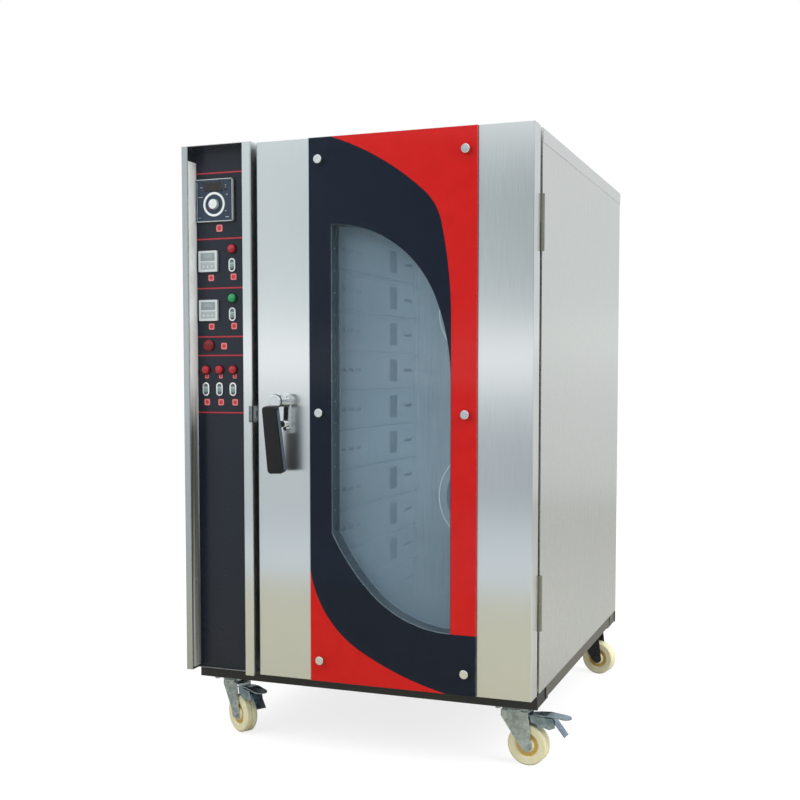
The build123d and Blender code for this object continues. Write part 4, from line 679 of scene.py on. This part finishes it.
# The grip is a matt plastic with rubbed edges, and its side strip is bluer and glossier.
grip_plastic = surface("black_grip_plastic", "0e1015", "14161c", 0.36, 0.06, scale=500.0, bump=0.2, edge=1.0,
                       worn="2a2e36", Specular_IOR_Level=0.36)
grip_side = surface("grip_side_plastic", "35414f", "46566a", 0.25, 0.05, scale=500.0, bump=0.1, edge=0.8)
dress(plated, "handle_base", "handle_lever")
spindle = next(Vector(j["pos_m"]) for j in frame["joints"] if j["name"] == "handle_turn")
stop = Vector((spindle.x + 2.0 * mm, 0.0, spindle.z - 51.0 * mm))
stop_radius = 6.0 * mm


def on_stop(low, high):
    """The rubber stop's own faces, which lie within its radius."""
    return (low.x > stop.x - stop_radius and high.x < stop.x + stop_radius and low.z > stop.z - stop_radius
            and high.z < stop.z + stop_radius)


dress_part(frame["nodes"]["handle_base"], rubber_black, on_stop)
collar = bmesh.new()
turned(collar, [(0.0056, 0.004), (0.0056, 0.016), (0.0072, 0.0165), (0.0084, 0.015), (0.0088, 0.004)],
       (stop.x, door_low.y, stop.z), steps=36)
for x, z in ((-10.5, 12.5), (10.5, 12.5), (-9.0, -61.0), (9.0, -61.0)):
    turned(collar, [(0.0, 0.0022), (0.0017, 0.0020), (0.0030, 0.0010), (0.0031, 0.0)],
           (spindle.x + x * mm, door_low.y - 4.0 * mm, spindle.z + z * mm), steps=20)
piece("handle_collar_and_screws", collar, plated, "door", smooth=True)
boss = bmesh.new()
turned(boss, [(0.0, 0.0504), (0.0128, 0.0504), (0.0142, 0.0494), (0.0142, 0.0455), (0.0128, 0.0445)],
       (spindle.x, door_low.y, spindle.z), steps=56)
piece("handle_boss_cap", boss, plated, "handle", smooth=True)
washer = bmesh.new()
turned(washer, [(0.0, 0.0444), (0.0150, 0.0444), (0.0154, 0.0440), (0.0154, 0.0420), (0.0, 0.0420)],
       (spindle.x, door_low.y, spindle.z), steps=56)
piece("handle_cap_washer", washer, grip_side, "handle", smooth=True)
lean = (Matrix.Translation((spindle.x, door_low.y - 50.3 * mm, spindle.z - 9.0 * mm)) @ Matrix.Rotation(
    math.radians(7.2), 4, "X") @ Matrix.Translation((-6.0 * mm, 0, 0)) @ Matrix.Rotation(math.radians(-2.8), 4, "Y"))
paddle = bmesh.new()
paddle_width, paddle_length, paddle_depth = 36.5 * mm, 150.0 * mm, 18.3 * mm
prism(paddle, rounded(0.0, -paddle_length / 2, paddle_width, paddle_length, 8.0 * mm, steps=6), -paddle_depth, 0.0)
for v in paddle.verts:
    v.co.x *= 0.92 - 1.07 * v.co.z
bmesh.ops.recalc_face_normals(paddle, faces=paddle.faces)
near = [e for e in paddle.edges if all(v.co.y < -paddle_depth + 0.3 * mm for v in e.verts)]
bmesh.ops.bevel(paddle, geom=near, offset=2.6 * mm, segments=4, profile=0.5, affect="EDGES")
bmesh.ops.transform(paddle, matrix=lean, verts=paddle.verts)
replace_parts(piece("grip_paddle", paddle, grip_plastic, "handle", smooth=True), "handle_grip")
rib = bmesh.new()
prism(rib, [(16.6 * mm, -10.0 * mm), (17.7 * mm, -10.0 * mm), (20.2 * mm, -142.0 * mm), (19.0 * mm, -142.0 * mm)],
      -14.0 * mm, -3.0 * mm)
bmesh.ops.transform(rib, matrix=lean, verts=rib.verts)
piece("grip_side_rib", rib, grip_side, "handle")


# Baking chamber. Stainless walls, pressed ledges for ten trays, a fan plate with wire guards, two fan wheels inside
# their ring heaters, and a lamp with a heat proof glass. The lamp is lit, and light falls in through the window.

# The chamber's steel is dulled by heat. The heater tubes are brown with oxide, the motors grey enamel, the gasket dull
# rubber, and the insulation coarse yellow fibre.
chamber_steel = surface("chamber_stainless", "9ba3a8", "c0c8cc", 0.34, 0.06, 1.0, 500.0, upright, 0.1, 0.8)
dress(chamber_steel, "chamber_liner", "fan_baffle", "tray_racks", "lower_fan", "upper_fan")
dress(plated, "fan_guards")
oxide = surface("oxidised_heater_tube", "3a3432", "6a5d54", 0.45, 0.1, 0.8, 120.0, clouds=20.0)
dress(oxide, "heating_elements")
motor_paint = surface("grey_motor_enamel", "474b50", "5b6066", 0.5, scale=300.0)
dress(motor_paint, "fan_motors")
lamp_glass = surface("ribbed_lamp_glass", "dfe3e0", "f3f5f2", 0.15, scale=200.0, Transmission_Weight=0.6,
                     Emission_Color=colour("fff1dc"), Emission_Strength=1.5)
dress(lamp_glass, "chamber_lamp")
rubber = surface("dark_silicone_rubber", "3a2a28", "4d3835", 0.6, scale=400.0, bump=0.2)
dress(rubber, "door_gasket")
wool = surface("mineral_wool", "8d7f57", "b5a678", 0.95, 0.04, scale=220.0, stretch=(4.0, 4.0, 0.6), bump=0.9)
dress(wool, "insulation", "door_insulation")
mouth_low, mouth_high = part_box("chamber_liner")
window_light = bpy.data.lights.new("window_light", "AREA")
window_light.shape = "RECTANGLE"
window_light.size = 0.34
window_light.size_y = 0.95
window_light.energy = 1.1
inside = bpy.data.objects.new("window_light", window_light)
inside.location = ((mouth_low.x + mouth_high.x) / 2, mouth_low.y + 0.012, (mouth_low.z + mouth_high.z) / 2)
inside.rotation_euler = (math.pi / 2, 0.0, 0.0)
inside.visible_camera = False
inside.visible_transmission = False
scene.collection.objects.link(inside)


# Hinges. Rolled steel leaves on a pin, half dull and a little yellow from their passivation, with paler rubbed edges.
# They are screwed to the cabinet's side and to the door's edge.
hinge_steel = surface("passivated_hinge_steel", "77776c", "8e8e82", 0.38, 0.06, 0.9, 300.0, clouds=12.0, worn="d5d6ca")
dress(hinge_steel, "cabinet_hinge_leaves", "door_hinge_leaves")


# Strike plate. A small plate of satin steel closes the back of the notch in the door post that the latch swings into.
# It is spot welded inside the post, behind the latch's tongue.
plate = bmesh.new()
post_low, post_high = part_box("door_post")
plate_x = (post_low.x + post_high.x) / 2 - 0.5 * mm
plate_width, plate_height = post_high.x - post_low.x - 2.0 * mm, 0.046
plate_front, plate_back = -0.4526, -0.4512
prism(plate, rounded(plate_x, spindle.z - 33.5 * mm, plate_width, plate_height, 0.001), plate_front, plate_back)
piece("latch_strike_plate", plate, satin, "cabinet")


# Base frame. Square steel tube, welded and powder coated black, which gives it a fine orange peel. Bare olive grey
# strips and corner plates of dull steel are fixed outside it.
powder = surface("black_powder_coat", "1b1a1c", "272628", 0.5, 0.08, scale=1300.0, bump=0.4, edge=1.5, worn="3a3a3b")
bare = surface("bare_strip_steel", "504e45", "66645c", 0.42, 0.08, 0.5, 200.0, clouds=10.0, worn="a5a494")
dress(powder, "base_frame")
base_low, base_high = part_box("base_frame")
strip_depth = 6.0 * mm


def outer_strip(low, high):
    """The strips and corner plates outside the side tubes."""
    outside = low.x > base_high.x - strip_depth or high.x < base_low.x + strip_depth
    return outside and low.y > base_low.y + 30.0 * mm


dress_part(frame["nodes"]["base_frame"], bare, outer_strip)


# Castors. Pressed zinc plated plates and forks in front, black painted forks behind, and cast polyurethane wheels, waxy
# and cream, with a darker amber ring of painted shade in each side, where the hub is recessed. The brake pedals are
# blue from their passivation.
fork_paint = surface("black_fork_paint", "1b1b1c", "2b2b2c", 0.4, 0.06, scale=600.0, worn="5a5a5a")
blue_zinc = surface("blue_passivated_steel", "6f8494", "a3b5c2", 0.22, 0.06, 0.95, 60.0, bump=0.06, clouds=30.0,
                    edge=0.8, worn="dbe6ee")
cream = surface("cream_polyurethane", "dcd5ae", "eae3c2", 0.42, 0.06, scale=160.0, bump=0.12, clouds=18.0, edge=1.0,
                Subsurface_Weight=0.05)
hub_recess_shade = surface("amber_polyurethane", "b98f3c", "cba650", 0.4, 0.06, scale=160.0, bump=0.12)
ring_inner, ring_outer = 17.3 * mm, 24.7 * mm
dress(zinc, "caster_plates", "front_left_fork", "front_right_fork")
dress(blue_zinc, "front_left_brake", "front_right_brake")
dress(fork_paint, "rear_left_fork", "rear_right_fork")
dress(cream, "front_left_wheel", "front_right_wheel", "rear_left_wheel", "rear_right_wheel")
# Each wheel gets a thin amber ring on each side: painted shade, where the hub is recessed.
for joint in frame["joints"]:
    if joint["name"].endswith("_roll"):
        ring = bmesh.new()
        centre, axle = Vector(joint["pos_m"]), Vector(joint["axis"])
        offsets = [v.co - centre for v in frame["nodes"][joint["child"]].data.vertices]
        for side in (-1, 1):
            depth = max(side * o.dot(axle) for o in offsets if 0.017 < (o - axle * o.dot(axle)).length < 0.026)
            turned(ring, [(ring_inner, depth - 0.0004), (ring_inner, depth + 0.0003), (ring_outer, depth + 0.0003),
                          (ring_outer, depth - 0.0004)], centre, axle * side, steps=48)
        piece(f"{joint['child']}_ring", ring, hub_recess_shade, joint["child"], smooth=True)


# Rear fittings and wiring. A turned brass water valve with its tube, a moulded nylon cable gland, and behind the
# control panel a rack of contactors in beige phenolic. The brass is warm and bright, the mouldings are half dull.
brass = surface("yellow_brass", "a58a4a", "c7ac69", 0.3, 0.06, 1.0, 200.0, clouds=20.0)
nylon = surface("black_nylon", "161616", "222222", 0.45, scale=800.0)
electric = surface("beige_phenolic", "b9b4a2", "cfcab8", 0.5, scale=500.0)
dress(brass, "water_line")
dress(nylon, "cable_gland")
dress(electric, "wiring_rack")
